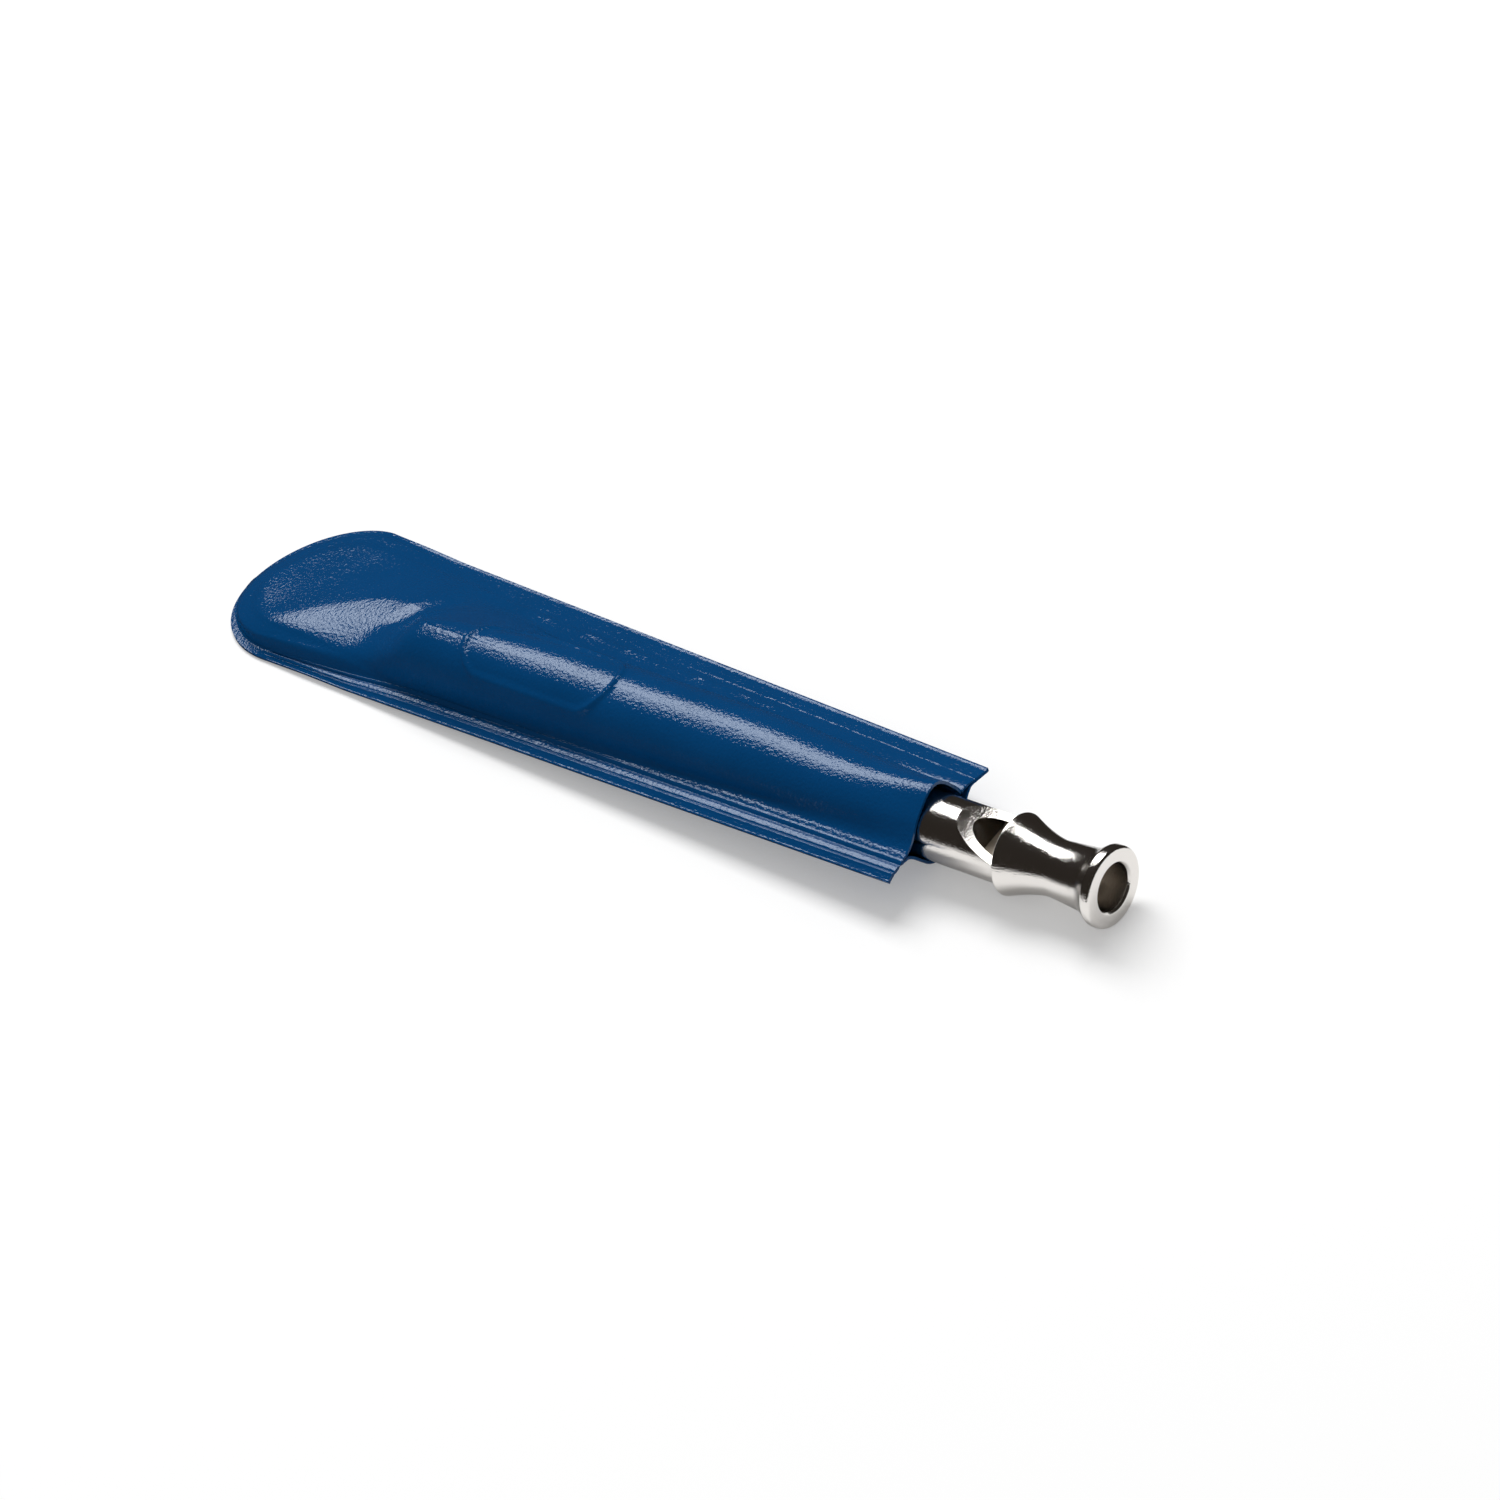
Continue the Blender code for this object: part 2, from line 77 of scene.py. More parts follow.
back = CAMERA_BACK.normalized()
up = back.cross(CAMERA_RIGHT).normalized()
camera_place = Matrix((up.cross(back), up, back)).transposed().to_4x4()
camera_place.translation = Vector((FACE_X, 0, AXIS_Z)) + CAMERA_FROM_FACE
camera_data = bpy.data.cameras.new("photo_camera")
camera_data.lens = LENS
camera_data.sensor_width = SENSOR
camera = bpy.data.objects.new("photo_camera", camera_data)
camera.matrix_world = camera_place
bpy.context.collection.objects.link(camera)
bpy.context.scene.camera = camera
bpy.context.scene.view_settings.view_transform = "Standard"
print("camera %.0f mm from the face" % (CAMERA_FROM_FACE.length / MM))

# %% [markdown]
# ## Sums with shader nodes
#
# Surfaces are described by small formulas. In the editor one would place and link a node for every step.
# Here a `Wire` is one output of a node, and adding or multiplying wires makes Math nodes, so a formula in
# the script reads like a formula. `Wire.node` makes any other node.

# %% A wire that can be used like a number
class Wire:
    def __init__(self, tree, socket):
        self.tree = tree
        self.socket = socket

    @classmethod
    def node(cls, tree, kind, settings=None, sockets=None, output=0):
        """Make a shader node of a kind, set it up and keep one of its outputs."""
        made = tree.nodes.new("ShaderNode" + kind)
        for name, value in (settings or {}).items():
            setattr(made, name, value)
        for key, value in (sockets or {}).items():
            if isinstance(value, Wire):
                tree.links.new(value.socket, made.inputs[key])
            else:
                made.inputs[key].default_value = value
        return cls(tree, made.outputs[output])

    def math(self, operation, first, second):
        return Wire.node(self.tree, "Math", {"operation": operation}, {0: first, 1: second})

    def __add__(self, other):
        return self.math("ADD", self, other)

    def __radd__(self, other):
        return self.math("ADD", other, self)

    def __sub__(self, other):
        return self.math("SUBTRACT", self, other)

    def __rsub__(self, other):
        return self.math("SUBTRACT", other, self)

    def __mul__(self, other):
        return self.math("MULTIPLY", self, other)

    def __rmul__(self, other):
        return self.math("MULTIPLY", other, self)

    def to(self, node, name):
        self.tree.links.new(self.socket, node.inputs[name])


print("wires ready")

# %% [markdown]
# ## Helpers for surfaces
#
# Every surface is a colour and a gloss that vary a little, with fine relief. Scanned pictures could give
# this, but they need unwrapping. Noise in three dimensions needs none and has no seams.

# %% New surface, speckle, relief and blend
def new_surface(name, inputs):
    material = bpy.data.materials.new(name)
    material.use_nodes = True
    tree = material.node_tree
    shader = tree.nodes["Principled BSDF"]
    for key, value in inputs.items():
        shader.inputs[key].default_value = value
    place = Wire.node(tree, "TexCoord", output="Object")
    return material, tree, shader, place


def speckle(tree, place, size, detail=2.0, stretch=(1, 1, 1)):
    """Noise from 0 to 1 with grains about `size` millimetres across, longer along a stretched axis."""
    per_metre = 1 / (size * MM)
    scaled = Wire.node(tree, "Mapping", {"vector_type": "POINT"},
                       {"Vector": place, "Scale": [per_metre / s for s in stretch]})
    return Wire.node(tree, "TexNoise", {"noise_dimensions": "3D"},
                     {"Vector": scaled, "Scale": 1.0, "Detail": detail})


def raise_surface(tree, shader, height, depth):
    """Use a height from 0 to 1 as relief `depth` millimetres deep."""
    Wire.node(tree, "Bump", None,
              {"Height": height, "Distance": depth * MM, "Strength": 1.0}).to(shader, "Normal")


def blend(tree, share, first, second):
    """A colour that goes from the first to the second as the share goes from 0 to 1."""
    return Wire.node(tree, "Mix", {"data_type": "RGBA"},
                     {"Factor": share, "A": (*first, 1), "B": (*second, 1)}, output=2)


def darker(colour, share):
    return tuple(share * part for part in colour)


print("surface helpers ready")

# %% [markdown]
# ## Studio: ground, tent and cards
#
# The picture has a white ground and one large soft light, above and behind the whistle. The metal shows
# the room: the light as one white streak, the ground as a pale lower side, and the dark room between them.
# A picture of a real room could be wrapped round the scene, but plain boards are easier to move. So the
# dark room is a black tent that only mirrored rays meet. Two black cards on the ground do the same for the
# flanks of the sleeve. The near card has a slanting edge, so that the whistle still mirrors the ground.

# %% Materials of the stage
FLOOR_COLOUR = (0.98, 0.98, 0.98, 1)
FLOOR_GLOW = 0.25
WHITE = (1, 1, 1, 1)
GLOW_STRENGTH = 1.08
TENT_COLOUR = (0.026, 0.022, 0.019, 1)


def stage_material(name, shader):
    """A material that shows what a function makes in its node tree."""
    material = bpy.data.materials.new(name)
    material.use_nodes = True
    tree = material.node_tree
    tree.nodes.remove(tree.nodes["Principled BSDF"])
    shader(tree).to(tree.nodes["Material Output"], "Surface")
    return material


def white_ground(tree):
    paint = Wire.node(tree, "BsdfDiffuse", None, {"Color": FLOOR_COLOUR})
    glow = Wire.node(tree, "Emission", None, {"Color": WHITE, "Strength": GLOW_STRENGTH})
    seen = Wire.node(tree, "LightPath", output="Is Camera Ray")
    return Wire.node(tree, "MixShader", None, {0: seen * FLOOR_GLOW, 1: paint, 2: glow})


def black_board(tree):
    return Wire.node(tree, "Emission", None, {"Color": TENT_COLOUR, "Strength": 1.0})


ground = stage_material("white_ground", white_ground)
board = stage_material("black_board", black_board)
print("stage materials:", ground.name, board.name)

# %% Floor, tent and cards
FLOOR_RADIUS = 0.5
FLOOR_MIDDLE = 0.06
FLOOR_DROP = 0.02 * MM
TENT_RADIUS = 3.2
FAR_CARD = ((-440, 22), (560, 22), (560, 1000), (-440, 1000))
NEAR_CARD = ((-440, -500), (-242, -500), (125, 22), (-440, 22))


def add_object(name, bm):
    """Put a finished mesh into the scene."""
    mesh = bpy.data.meshes.new(name)
    bm.to_mesh(mesh)
    bm.free()
    made = bpy.data.objects.new(name, mesh)
    bpy.context.collection.objects.link(made)
    return made


def add_stage(name, bm, material):
    made = add_object(name, bm)
    made.data.materials.append(material)
    return made


def lay_card(name, corners):
    """A black card flat on the ground, with its corners given in millimetres."""
    bm = bmesh.new()
    bm.faces.new([bm.verts.new((x * MM, y * MM, 0)) for x, y in corners])
    return add_stage(name, bm, board)


floor_mesh = bmesh.new()
bmesh.ops.create_circle(floor_mesh, cap_ends=True, segments=96, radius=FLOOR_RADIUS,
                        matrix=Matrix.Translation((FLOOR_MIDDLE, 0, -FLOOR_DROP)))
add_stage("white_ground", floor_mesh, ground)

tent_mesh = bmesh.new()
bmesh.ops.create_uvsphere(tent_mesh, u_segments=32, v_segments=16, radius=TENT_RADIUS)
tent = add_stage("black_tent", tent_mesh, board)
for hidden in (tent, lay_card("far_card", FAR_CARD), lay_card("near_card", NEAR_CARD)):
    hidden.visible_camera = False
    hidden.visible_diffuse = False
    hidden.visible_shadow = False
print("floor, and a tent and two cards for mirrored rays")

# %% [markdown]
# ## Studio: sky and lamp
#
# The world is white for the camera and for mirrored rays, and gives a lower, even light to the rest, so
# that shadows stay soft. The lamp is one rectangle with its long side along the whistle, like a soft box.
# A sun lamp would be simpler, but its highlight would be a thin line instead of a broad streak.

# %% World and lamp
FILL = 0.42
LAMP_DIRECTION = Vector((-0.4, 0.425, 0.815))
LAMP_AIM = Vector((0.1, 0, 0))
LAMP_DISTANCE = 2.0
LAMP_LENGTH = 1.85
LAMP_WIDTH = 0.9
LAMP_POWER = 35

world = bpy.data.worlds.new("studio_world")
world.use_nodes = True
bpy.context.scene.world = world
sky = world.node_tree
seen = Wire.node(sky, "LightPath", output="Is Camera Ray")
mirrored = Wire.node(sky, "LightPath", output="Is Glossy Ray")
through = Wire.node(sky, "LightPath", output="Is Transmission Ray")
shown = Wire.node(sky, "Clamp", None, {"Value": seen + mirrored + through})
sky.nodes["Background"].inputs["Color"].default_value = WHITE
(FILL + shown * (1 - FILL)).to(sky.nodes["Background"], "Strength")

lamp_data = bpy.data.lights.new("soft_box", "AREA")
lamp_data.shape = "RECTANGLE"
lamp_data.size = LAMP_LENGTH
lamp_data.size_y = LAMP_WIDTH
lamp_data.energy = LAMP_POWER
lamp = bpy.data.objects.new("soft_box", lamp_data)
away = LAMP_DIRECTION.normalized()
crosswise = away.cross(Vector((1, 0, 0))).normalized()
lengthwise = crosswise.cross(away)
lamp_place = Matrix((lengthwise, crosswise, away)).transposed().to_4x4()
lamp_place.translation = LAMP_AIM + away * LAMP_DISTANCE
lamp.matrix_world = lamp_place
bpy.context.collection.objects.link(lamp)
print("lamp %.0f degrees up" % math.degrees(math.asin(away.z)))

# %% [markdown]
# ## Plated metal
#
# Nickel plate on polished brass: a mirror with a slightly warm tint. Buffing leaves fine grain and faint
# lines along the tube, which show where a reflection changes from light to dark. Both are far too fine to
# model, so they are relief in the material.

# %% Plate
PLATE_COLOUR = (0.83, 0.8, 0.765)
PLATE_SHADE = 0.93
PLATE_CLOUD = 4.0
PLATE_ROUGHNESS = 0.105
PLATE_HAZE = 0.05
PLATE_GRAIN = 0.22
PLATE_LINE = 0.12
GRAIN_SHARE = 0.7
LINE_SHARE = 0.3
PLATE_RELIEF = 0.036


def plated_metal():
    material, tree, shader, place = new_surface("plated_metal", {"Metallic": 1.0})
    grain = speckle(tree, place, PLATE_GRAIN)
    lines = speckle(tree, place, PLATE_LINE, detail=1.0, stretch=(40, 1, 1))
    cloud = speckle(tree, place, PLATE_CLOUD)
    blend(tree, cloud, darker(PLATE_COLOUR, PLATE_SHADE), PLATE_COLOUR).to(shader, "Base Color")
    (PLATE_ROUGHNESS + PLATE_HAZE * cloud).to(shader, "Roughness")
    raise_surface(tree, shader, GRAIN_SHARE * grain + LINE_SHARE * lines, PLATE_RELIEF)
    return material


plate = plated_metal()
print("plate ready:", plate.name)

# %% [markdown]
# ## Bare metal and rubber
#
# The plug, the piston and the screw are turned and left bare, so they keep the rings of the lathe and have
# stains. A Wave texture gives rings about the whistle's axis without any unwrapping. Rubber only needs to
# be dark, matt and slightly dusty.

# %% Brass, steel and rubber
RINGS_PER_MARK = 0.31
RING_SHARE = 0.6
STAIN_SIZE = 0.9
STAIN_SHADE = 0.72
STAIN_ROUGHNESS = 0.16
STAIN_SHARE = 0.4
TURNED_RELIEF = 0.012
BRASS_COLOUR = (0.76, 0.66, 0.54)
STEEL_COLOUR = (0.56, 0.56, 0.57)
RUBBER_DARK = (0.012, 0.012, 0.012)
RUBBER_DUSTY = (0.03, 0.03, 0.03)
RUBBER_ROUGHNESS = 0.62
DUST_SIZE = 0.4


def turned_metal(name, colour, roughness, mark, metallic=1.0):
    """Unpolished metal with fine marks from the lathe; `mark` is their spacing in millimetres."""
    material, tree, shader, place = new_surface(name, {"Metallic": metallic})
    middle = Wire.node(tree, "Mapping", {"vector_type": "POINT"},
                       {"Vector": place, "Location": (0, 0, -AXIS_Z)})
    ring = Wire.node(tree, "TexWave", {"wave_type": "RINGS", "rings_direction": "X"},
                     {"Vector": middle, "Scale": RINGS_PER_MARK / (mark * MM), "Distortion": 1.5,
                      "Detail": 2.0, "Detail Scale": 3.0}, output="Fac")
    stain = speckle(tree, place, STAIN_SIZE, detail=4.0)
    blend(tree, stain, darker(colour, STAIN_SHADE), colour).to(shader, "Base Color")
    (roughness + STAIN_ROUGHNESS * stain).to(shader, "Roughness")
    raise_surface(tree, shader, RING_SHARE * ring + STAIN_SHARE * stain, TURNED_RELIEF)
    return material


def black_rubber():
    material, tree, shader, place = new_surface("black_rubber", {"Roughness": RUBBER_ROUGHNESS})
    dust = speckle(tree, place, DUST_SIZE)
    blend(tree, dust, RUBBER_DARK, RUBBER_DUSTY).to(shader, "Base Color")
    return material


brass = turned_metal("dull_brass", BRASS_COLOUR, roughness=0.45, mark=0.14, metallic=0.25)
steel = turned_metal("turned_steel", STEEL_COLOUR, roughness=0.24, mark=0.1)
rubber = black_rubber()
print("bare surfaces:", brass.name, steel.name, rubber.name)

# %% [markdown]
# ## Turned pieces
#
# Every metal piece of the whistle comes off a lathe, so each one is an outline spun about the axis.
# Stacked cylinders would do for some, but an outline also takes rounds and hollows. It is a list of station
# and radius, with stations measured back from the piece's own front end. Sharp edges are then rounded a
# little, because a real edge always shows a thin line of light.

# %% Spin an outline
TURN_SEGMENTS = 128
FINE_SEGMENTS = 64
SAME_PLACE = 1e-7


def arc(station, radius, size, start, end, steps=8):
    """Points on a round of an outline; angles are in degrees from the backward direction."""
    angles = [math.radians(start + (end - start) * i / steps) for i in range(steps + 1)]
    return [(station + size * math.cos(a), radius + size * math.sin(a)) for a in angles]


def turn(node, outline, segments=TURN_SEGMENTS):
    """Spin an outline that starts at the front end of a CAD node."""
    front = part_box(node)[1].x
    bm = bmesh.new()
    corners = [bm.verts.new((front - station * MM, 0, radius * MM)) for station, radius in outline]
    sides = [bm.edges.new((a, b)) for a, b in zip(corners, corners[1:] + corners[:1])
             if a.co.z > 0 or b.co.z > 0]
    bmesh.ops.spin(bm, geom=corners + sides, cent=(0, 0, 0), axis=(1, 0, 0), angle=math.tau,
                   steps=segments, use_merge=True)
    bmesh.ops.remove_doubles(bm, verts=bm.verts, dist=SAME_PLACE)
    bmesh.ops.recalc_face_normals(bm, faces=bm.faces)
    bmesh.ops.translate(bm, verts=bm.verts, vec=(0, 0, AXIS_Z))
    return bm


def radius_of(vert):
    """How far a point lies from the whistle's axis, in millimetres."""
    return math.hypot(vert.co.y, vert.co.z - AXIS_Z) / MM


def angle_of(vert):
    """How far round the axis a point lies, from upright."""
    return math.atan2(vert.co.y, vert.co.z - AXIS_Z)


def sink(vert, depth):
    """Move a point straight towards the whistle's axis."""
    share = 1 - depth / radius_of(vert)
    vert.co.y *= share
    vert.co.z = AXIS_Z + (vert.co.z - AXIS_Z) * share


print("sides of a turned piece:", TURN_SEGMENTS)

# %% Round, cut and keep
OPEN_EDGE = 180.0


def bend(edge):
    """How far a surface turns at an edge, in degrees."""
    return math.degrees(edge.calc_face_angle()) if len(edge.link_faces) == 2 else OPEN_EDGE


def round_edges(bm, size, sharper_than=30.0, segments=2):
    """Round the sharp edges; the size is in millimetres."""
    edges = [edge for edge in bm.edges if sharper_than < bend(edge) < OPEN_EDGE]
    bmesh.ops.bevel(bm, geom=edges, offset=size * MM, offset_type="OFFSET", segments=segments,
                    profile=0.5, affect="EDGES", clamp_overlap=True, material=-1)


def cut_away(bm, tool_bm):
    """A mesh with the volume of a tool taken out of it."""
    pair = [add_object("cut", source) for source in (bm, tool_bm)]
    step = pair[0].modifiers.new("cut", "BOOLEAN")
    step.operation = "DIFFERENCE"
    step.solver = "EXACT"
    step.object = pair[1]
    seen_piece = pair[0].evaluated_get(bpy.context.evaluated_depsgraph_get())
    result = bmesh.new()
    result.from_mesh(seen_piece.to_mesh())
    seen_piece.to_mesh_clear()
    for made in pair:
        bpy.data.objects.remove(made)
    bmesh.ops.remove_doubles(result, verts=result.verts, dist=SAME_PLACE)
    return result


def keep(bm, name, body, node, material, sharp=30.0):
    """Make an object of a finished mesh, hang it on its body and hide the CAD node that it replaces."""
    bmesh.ops.recalc_face_normals(bm, faces=bm.faces)
    for face in bm.faces:
        face.smooth = True
    for edge in bm.edges:
        edge.smooth = bend(edge) < sharp
    piece = add_object(name, bm)
    piece.data.materials.append(material)
    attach(piece, body)
    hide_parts(node)
    print("%s: %d faces" % (name, len(piece.data.polygons)))


print("finishing helpers ready")

# %% [markdown]
# ## Mouthpiece
#
# One turned and plated piece. A flat ring faces the lips, with a rounded flange behind it to hold it in
# the teeth. The neck narrows to a waist and opens again as a bell that ends in a thin rim, where the
# window begins. A subdivided cylinder could be pulled to this shape, but the outline holds the measured
# radii exactly: rounds are arcs, and the bell is a power curve.

# %% Mouthpiece
MOUTHPIECE_LENGTH = 15.3
FLANGE_RADIUS = 5.46
FLANGE_WIDTH = 1.1
FRONT_ROUND = 0.45
BACK_ROUND = 0.6
ROOT = (3.25, 4.25)
WAIST = (8.5, 3.75)
RIM_RADIUS = 5.5
RIM_LAND = 0.3
RIM_ROUND = 0.2
BELL_POWER = 1.6
BELL_STEPS = 24
MOUTH_RADIUS = 3.2
MOUTH_CHAMFER = 0.3


def mouthpiece_outline():
    front = arc(FRONT_ROUND, FLANGE_RADIUS - FRONT_ROUND, FRONT_ROUND, start=180, end=90)
    back = arc(FLANGE_WIDTH, FLANGE_RADIUS - BACK_ROUND, BACK_ROUND, start=90, end=36)
    waist_station, waist_radius = WAIST
    bell_length = MOUTHPIECE_LENGTH - RIM_LAND - waist_station
    shares = [i / BELL_STEPS for i in range(BELL_STEPS + 1)]
    bell = [(waist_station + bell_length * share,
             waist_radius + (RIM_RADIUS - waist_radius) * share ** BELL_POWER) for share in shares]
    rim = arc(MOUTHPIECE_LENGTH - RIM_ROUND, RIM_RADIUS - RIM_ROUND, RIM_ROUND, start=90, end=0)
    rim.append((MOUTHPIECE_LENGTH, MOUTH_RADIUS))
    mouth = [(MOUTH_CHAMFER, MOUTH_RADIUS), (0, MOUTH_RADIUS + MOUTH_CHAMFER)]
    return front + back + [ROOT] + bell + rim + mouth


mouthpiece_mesh = turn("mouthpiece", mouthpiece_outline())
round_edges(mouthpiece_mesh, size=0.05)
keep(mouthpiece_mesh, "polished_mouthpiece", "whistle", "mouthpiece", plate)

# %% [markdown]
# ## Barrel
#
# A plain tube. Its window was milled across the front end with a large round cutter, so the ramp is
# slightly hollow; a cut by a plane would leave it flat. The tube is spun first, the cutter's round is taken
# out of it with a Boolean, and the new edges are broken by a fine chamfer.

# %% Barrel with its window
BARREL_LENGTH = 55.0
BARREL_RADIUS = 4.5
BORE_RADIUS = 3.5
WINDOW_LENGTH = 7.8
BEHIND_WINDOW = 1.2 * WINDOW_LENGTH
RAMP_FOOT = 1.55
CUTTER_RADIUS = 34.0
CUTTER_LEAN = math.radians(14.0)
WINDOW_CHAMFER = 0.06


def rod_across(x, z, radius, length, segments=32):
    """A round rod that lies across the whistle; its place is in metres."""
    bm = bmesh.new()
    place = Matrix.Translation((x, 0, z)) @ Matrix.Rotation(math.pi / 2, 4, "X")
    bmesh.ops.create_cone(bm, cap_ends=True, segments=segments, radius1=radius * MM, radius2=radius * MM,
                          depth=length * MM, matrix=place)
    return bm


barrel_mesh = turn("barrel", [(0, BORE_RADIUS), (0, BARREL_RADIUS), (BEHIND_WINDOW, BARREL_RADIUS),
                              (BARREL_LENGTH, BARREL_RADIUS), (BARREL_LENGTH, BORE_RADIUS),
                              (BEHIND_WINDOW, BORE_RADIUS)])
cutter_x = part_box("barrel")[1].x + CUTTER_RADIUS * math.sin(CUTTER_LEAN) * MM
cutter_z = AXIS_Z + (RAMP_FOOT + CUTTER_RADIUS * math.cos(CUTTER_LEAN)) * MM
cutter_mesh = rod_across(cutter_x, cutter_z, CUTTER_RADIUS, length=4 * BARREL_RADIUS, segments=720)
barrel_mesh = cut_away(barrel_mesh, cutter_mesh)
round_edges(barrel_mesh, size=WINDOW_CHAMFER, sharper_than=15.0, segments=1)
keep(barrel_mesh, "barrel_tube", "whistle", "barrel", plate, sharp=8.0)

# %% [markdown]
# ## Windway block
#
# A turned plug that fills the mouthpiece except for a slit along its top. Behind the slit it is milled
# lower, as a tail that reaches into the barrel below the window. Plug and tail have different flats, so
# they are spun apart, cut flat by planes and joined.

# %% Windway block
PLUG_RADIUS = 3.05
PLUG_LENGTH = 8.3
TAIL_START = PLUG_LENGTH + 0.1
TAIL_RADIUS = 3.35
TAIL_END = 13.4
WINDWAY_HEIGHT = 1.3
WINDWAY_FLOOR = MOUTH_RADIUS - WINDWAY_HEIGHT
TAIL_TOP = -0.6


def flattened(outline, height):
    """A turned part of the block with everything above a height taken off."""
    bm = turn("windway_block", outline)
    cut = bmesh.ops.bisect_plane(bm, geom=bm.verts[:] + bm.edges[:] + bm.faces[:], clear_outer=True,
                                 plane_co=(0, 0, AXIS_Z + height * MM), plane_no=(0, 0, 1))
    edges = [item for item in cut["geom_cut"] if isinstance(item, bmesh.types.BMEdge)]
    bmesh.ops.contextual_create(bm, geom=edges)
    round_edges(bm, size=0.08)
    mesh = bpy.data.meshes.new("block_part")
    bm.to_mesh(mesh)
    bm.free()
    return mesh


plug = [(0, 0), (0, PLUG_RADIUS), (PLUG_LENGTH, PLUG_RADIUS), (PLUG_LENGTH, 0)]
tail = [(PLUG_LENGTH, 0), (PLUG_LENGTH, PLUG_RADIUS), (TAIL_START, PLUG_RADIUS),
        (TAIL_START, TAIL_RADIUS), (TAIL_END, TAIL_RADIUS), (TAIL_END, 0)]
block_mesh = bmesh.new()
for outline, height in ((plug, WINDWAY_FLOOR), (tail, TAIL_TOP)):
    part = flattened(outline, height)
    block_mesh.from_mesh(part)
    bpy.data.meshes.remove(part)
keep(block_mesh, "windway_plug", "whistle", "windway_block", brass)

# %% [markdown]
# ## Piston, seal and clip
#
# These sit in the bore and are seen only through the window or when a piece is taken apart. The piston is
# a turned disc with a groove, the seal is a rubber ring with a round face, and the clip is a split washer.
# All three are spun. The clip then loses the faces over its gap, and the two open ends are closed.

# %% Piston and seal
PISTON_LENGTH = 6.0
PISTON_RADIUS = 3.3
PISTON_HOLE = 1.3
GROOVE_FLOOR = 2.5
HALF_GROOVE = 0.7
GROOVE_FRONT = PISTON_LENGTH / 2 - HALF_GROOVE
GROOVE_BACK = PISTON_LENGTH / 2 + HALF_GROOVE
SEAL_RADIUS = 3.4
SEAL_INSIDE = 2.6
SEAL_WIDTH = 1.2
HALF_SEAL = SEAL_WIDTH / 2

piston_mesh = turn("tuning_piston", [
    (0, PISTON_HOLE), (0, PISTON_RADIUS), (GROOVE_FRONT, PISTON_RADIUS), (GROOVE_FRONT, GROOVE_FLOOR),
    (GROOVE_BACK, GROOVE_FLOOR), (GROOVE_BACK, PISTON_RADIUS), (PISTON_LENGTH, PISTON_RADIUS),
    (PISTON_LENGTH, PISTON_HOLE)], FINE_SEGMENTS)
round_edges(piston_mesh, size=0.06)
keep(piston_mesh, "turned_piston", "piston", "tuning_piston", brass)

crown = arc(HALF_SEAL, SEAL_RADIUS - HALF_SEAL, HALF_SEAL, start=180, end=0, steps=12)
seal_mesh = turn("piston_seal", crown + [(SEAL_WIDTH, SEAL_INSIDE), (0, SEAL_INSIDE)], FINE_SEGMENTS)
keep(seal_mesh, "rubber_seal", "piston", "piston_seal", rubber)

# %% Clip
CLIP_WIDTH = 0.5
CLIP_RADIUS = 2.2
CLIP_HOLE = 1.0
HALF_CLIP_GAP = 0.9


def over_gap(face):
    middle = face.calc_center_median()
    return abs(middle.y) < HALF_CLIP_GAP * MM and middle.z > AXIS_Z


clip_mesh = turn("piston_clip", [(0, CLIP_HOLE), (0, CLIP_RADIUS), (CLIP_WIDTH, CLIP_RADIUS),
                                 (CLIP_WIDTH, CLIP_HOLE)], FINE_SEGMENTS)
bmesh.ops.delete(clip_mesh, geom=[face for face in clip_mesh.faces if over_gap(face)], context="FACES")
bmesh.ops.holes_fill(clip_mesh, edges=[edge for edge in clip_mesh.edges if edge.is_boundary], sides=4)
round_edges(clip_mesh, size=0.05)
keep(clip_mesh, "split_clip", "tuning_screw", "piston_clip", steel)

# %% [markdown]
# ## Spindle
#
# A steel screw. Its front is necked down to carry the piston, and the rest has a thread with a pitch of
# 0.7 mm. A thread could be swept along a helix, but its ends would have to be sewn to the rod. Here it is
# cut into a spun rod with many rings: points move in by how far round and how far along they are.

# %% Threaded spindle
NECK_TIP = 1.3
NECK_RADIUS = 1.2
CLIP_GROOVE_RADIUS = 0.9
CLIP_GROOVE_FRONT = NECK_TIP - 0.8
CLIP_GROOVE_BACK = NECK_TIP - 0.15
SPINDLE_RADIUS = 2.0
SHOULDER = NECK_TIP + PISTON_LENGTH + 0.1
THREAD_PITCH = 0.7
THREAD_DEPTH = 0.34
THREAD_START = SHOULDER + 6.0
THREAD_RUN_IN = 2.0
THREAD_SKIN = 0.1
PLAIN_END = 0.5
RING_GAP = THREAD_PITCH / 8

spindle_low, spindle_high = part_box("tuning_spindle")
SPINDLE_LENGTH = (spindle_high.x - spindle_low.x) / MM
clip_groove = [(CLIP_GROOVE_FRONT, NECK_RADIUS), (CLIP_GROOVE_FRONT, CLIP_GROOVE_RADIUS),
               (CLIP_GROOVE_BACK, CLIP_GROOVE_RADIUS), (CLIP_GROOVE_BACK, NECK_RADIUS)]
ring_count = int((SPINDLE_LENGTH - THREAD_START) / RING_GAP)
rings = [(THREAD_START + i * RING_GAP, SPINDLE_RADIUS) for i in range(ring_count)]
spindle_mesh = turn("tuning_spindle", [(0, 0), (0, NECK_RADIUS)] + clip_groove
                    + [(SHOULDER, NECK_RADIUS), (SHOULDER, SPINDLE_RADIUS)] + rings
                    + [(SPINDLE_LENGTH, SPINDLE_RADIUS), (SPINDLE_LENGTH, 0)], segments=48)
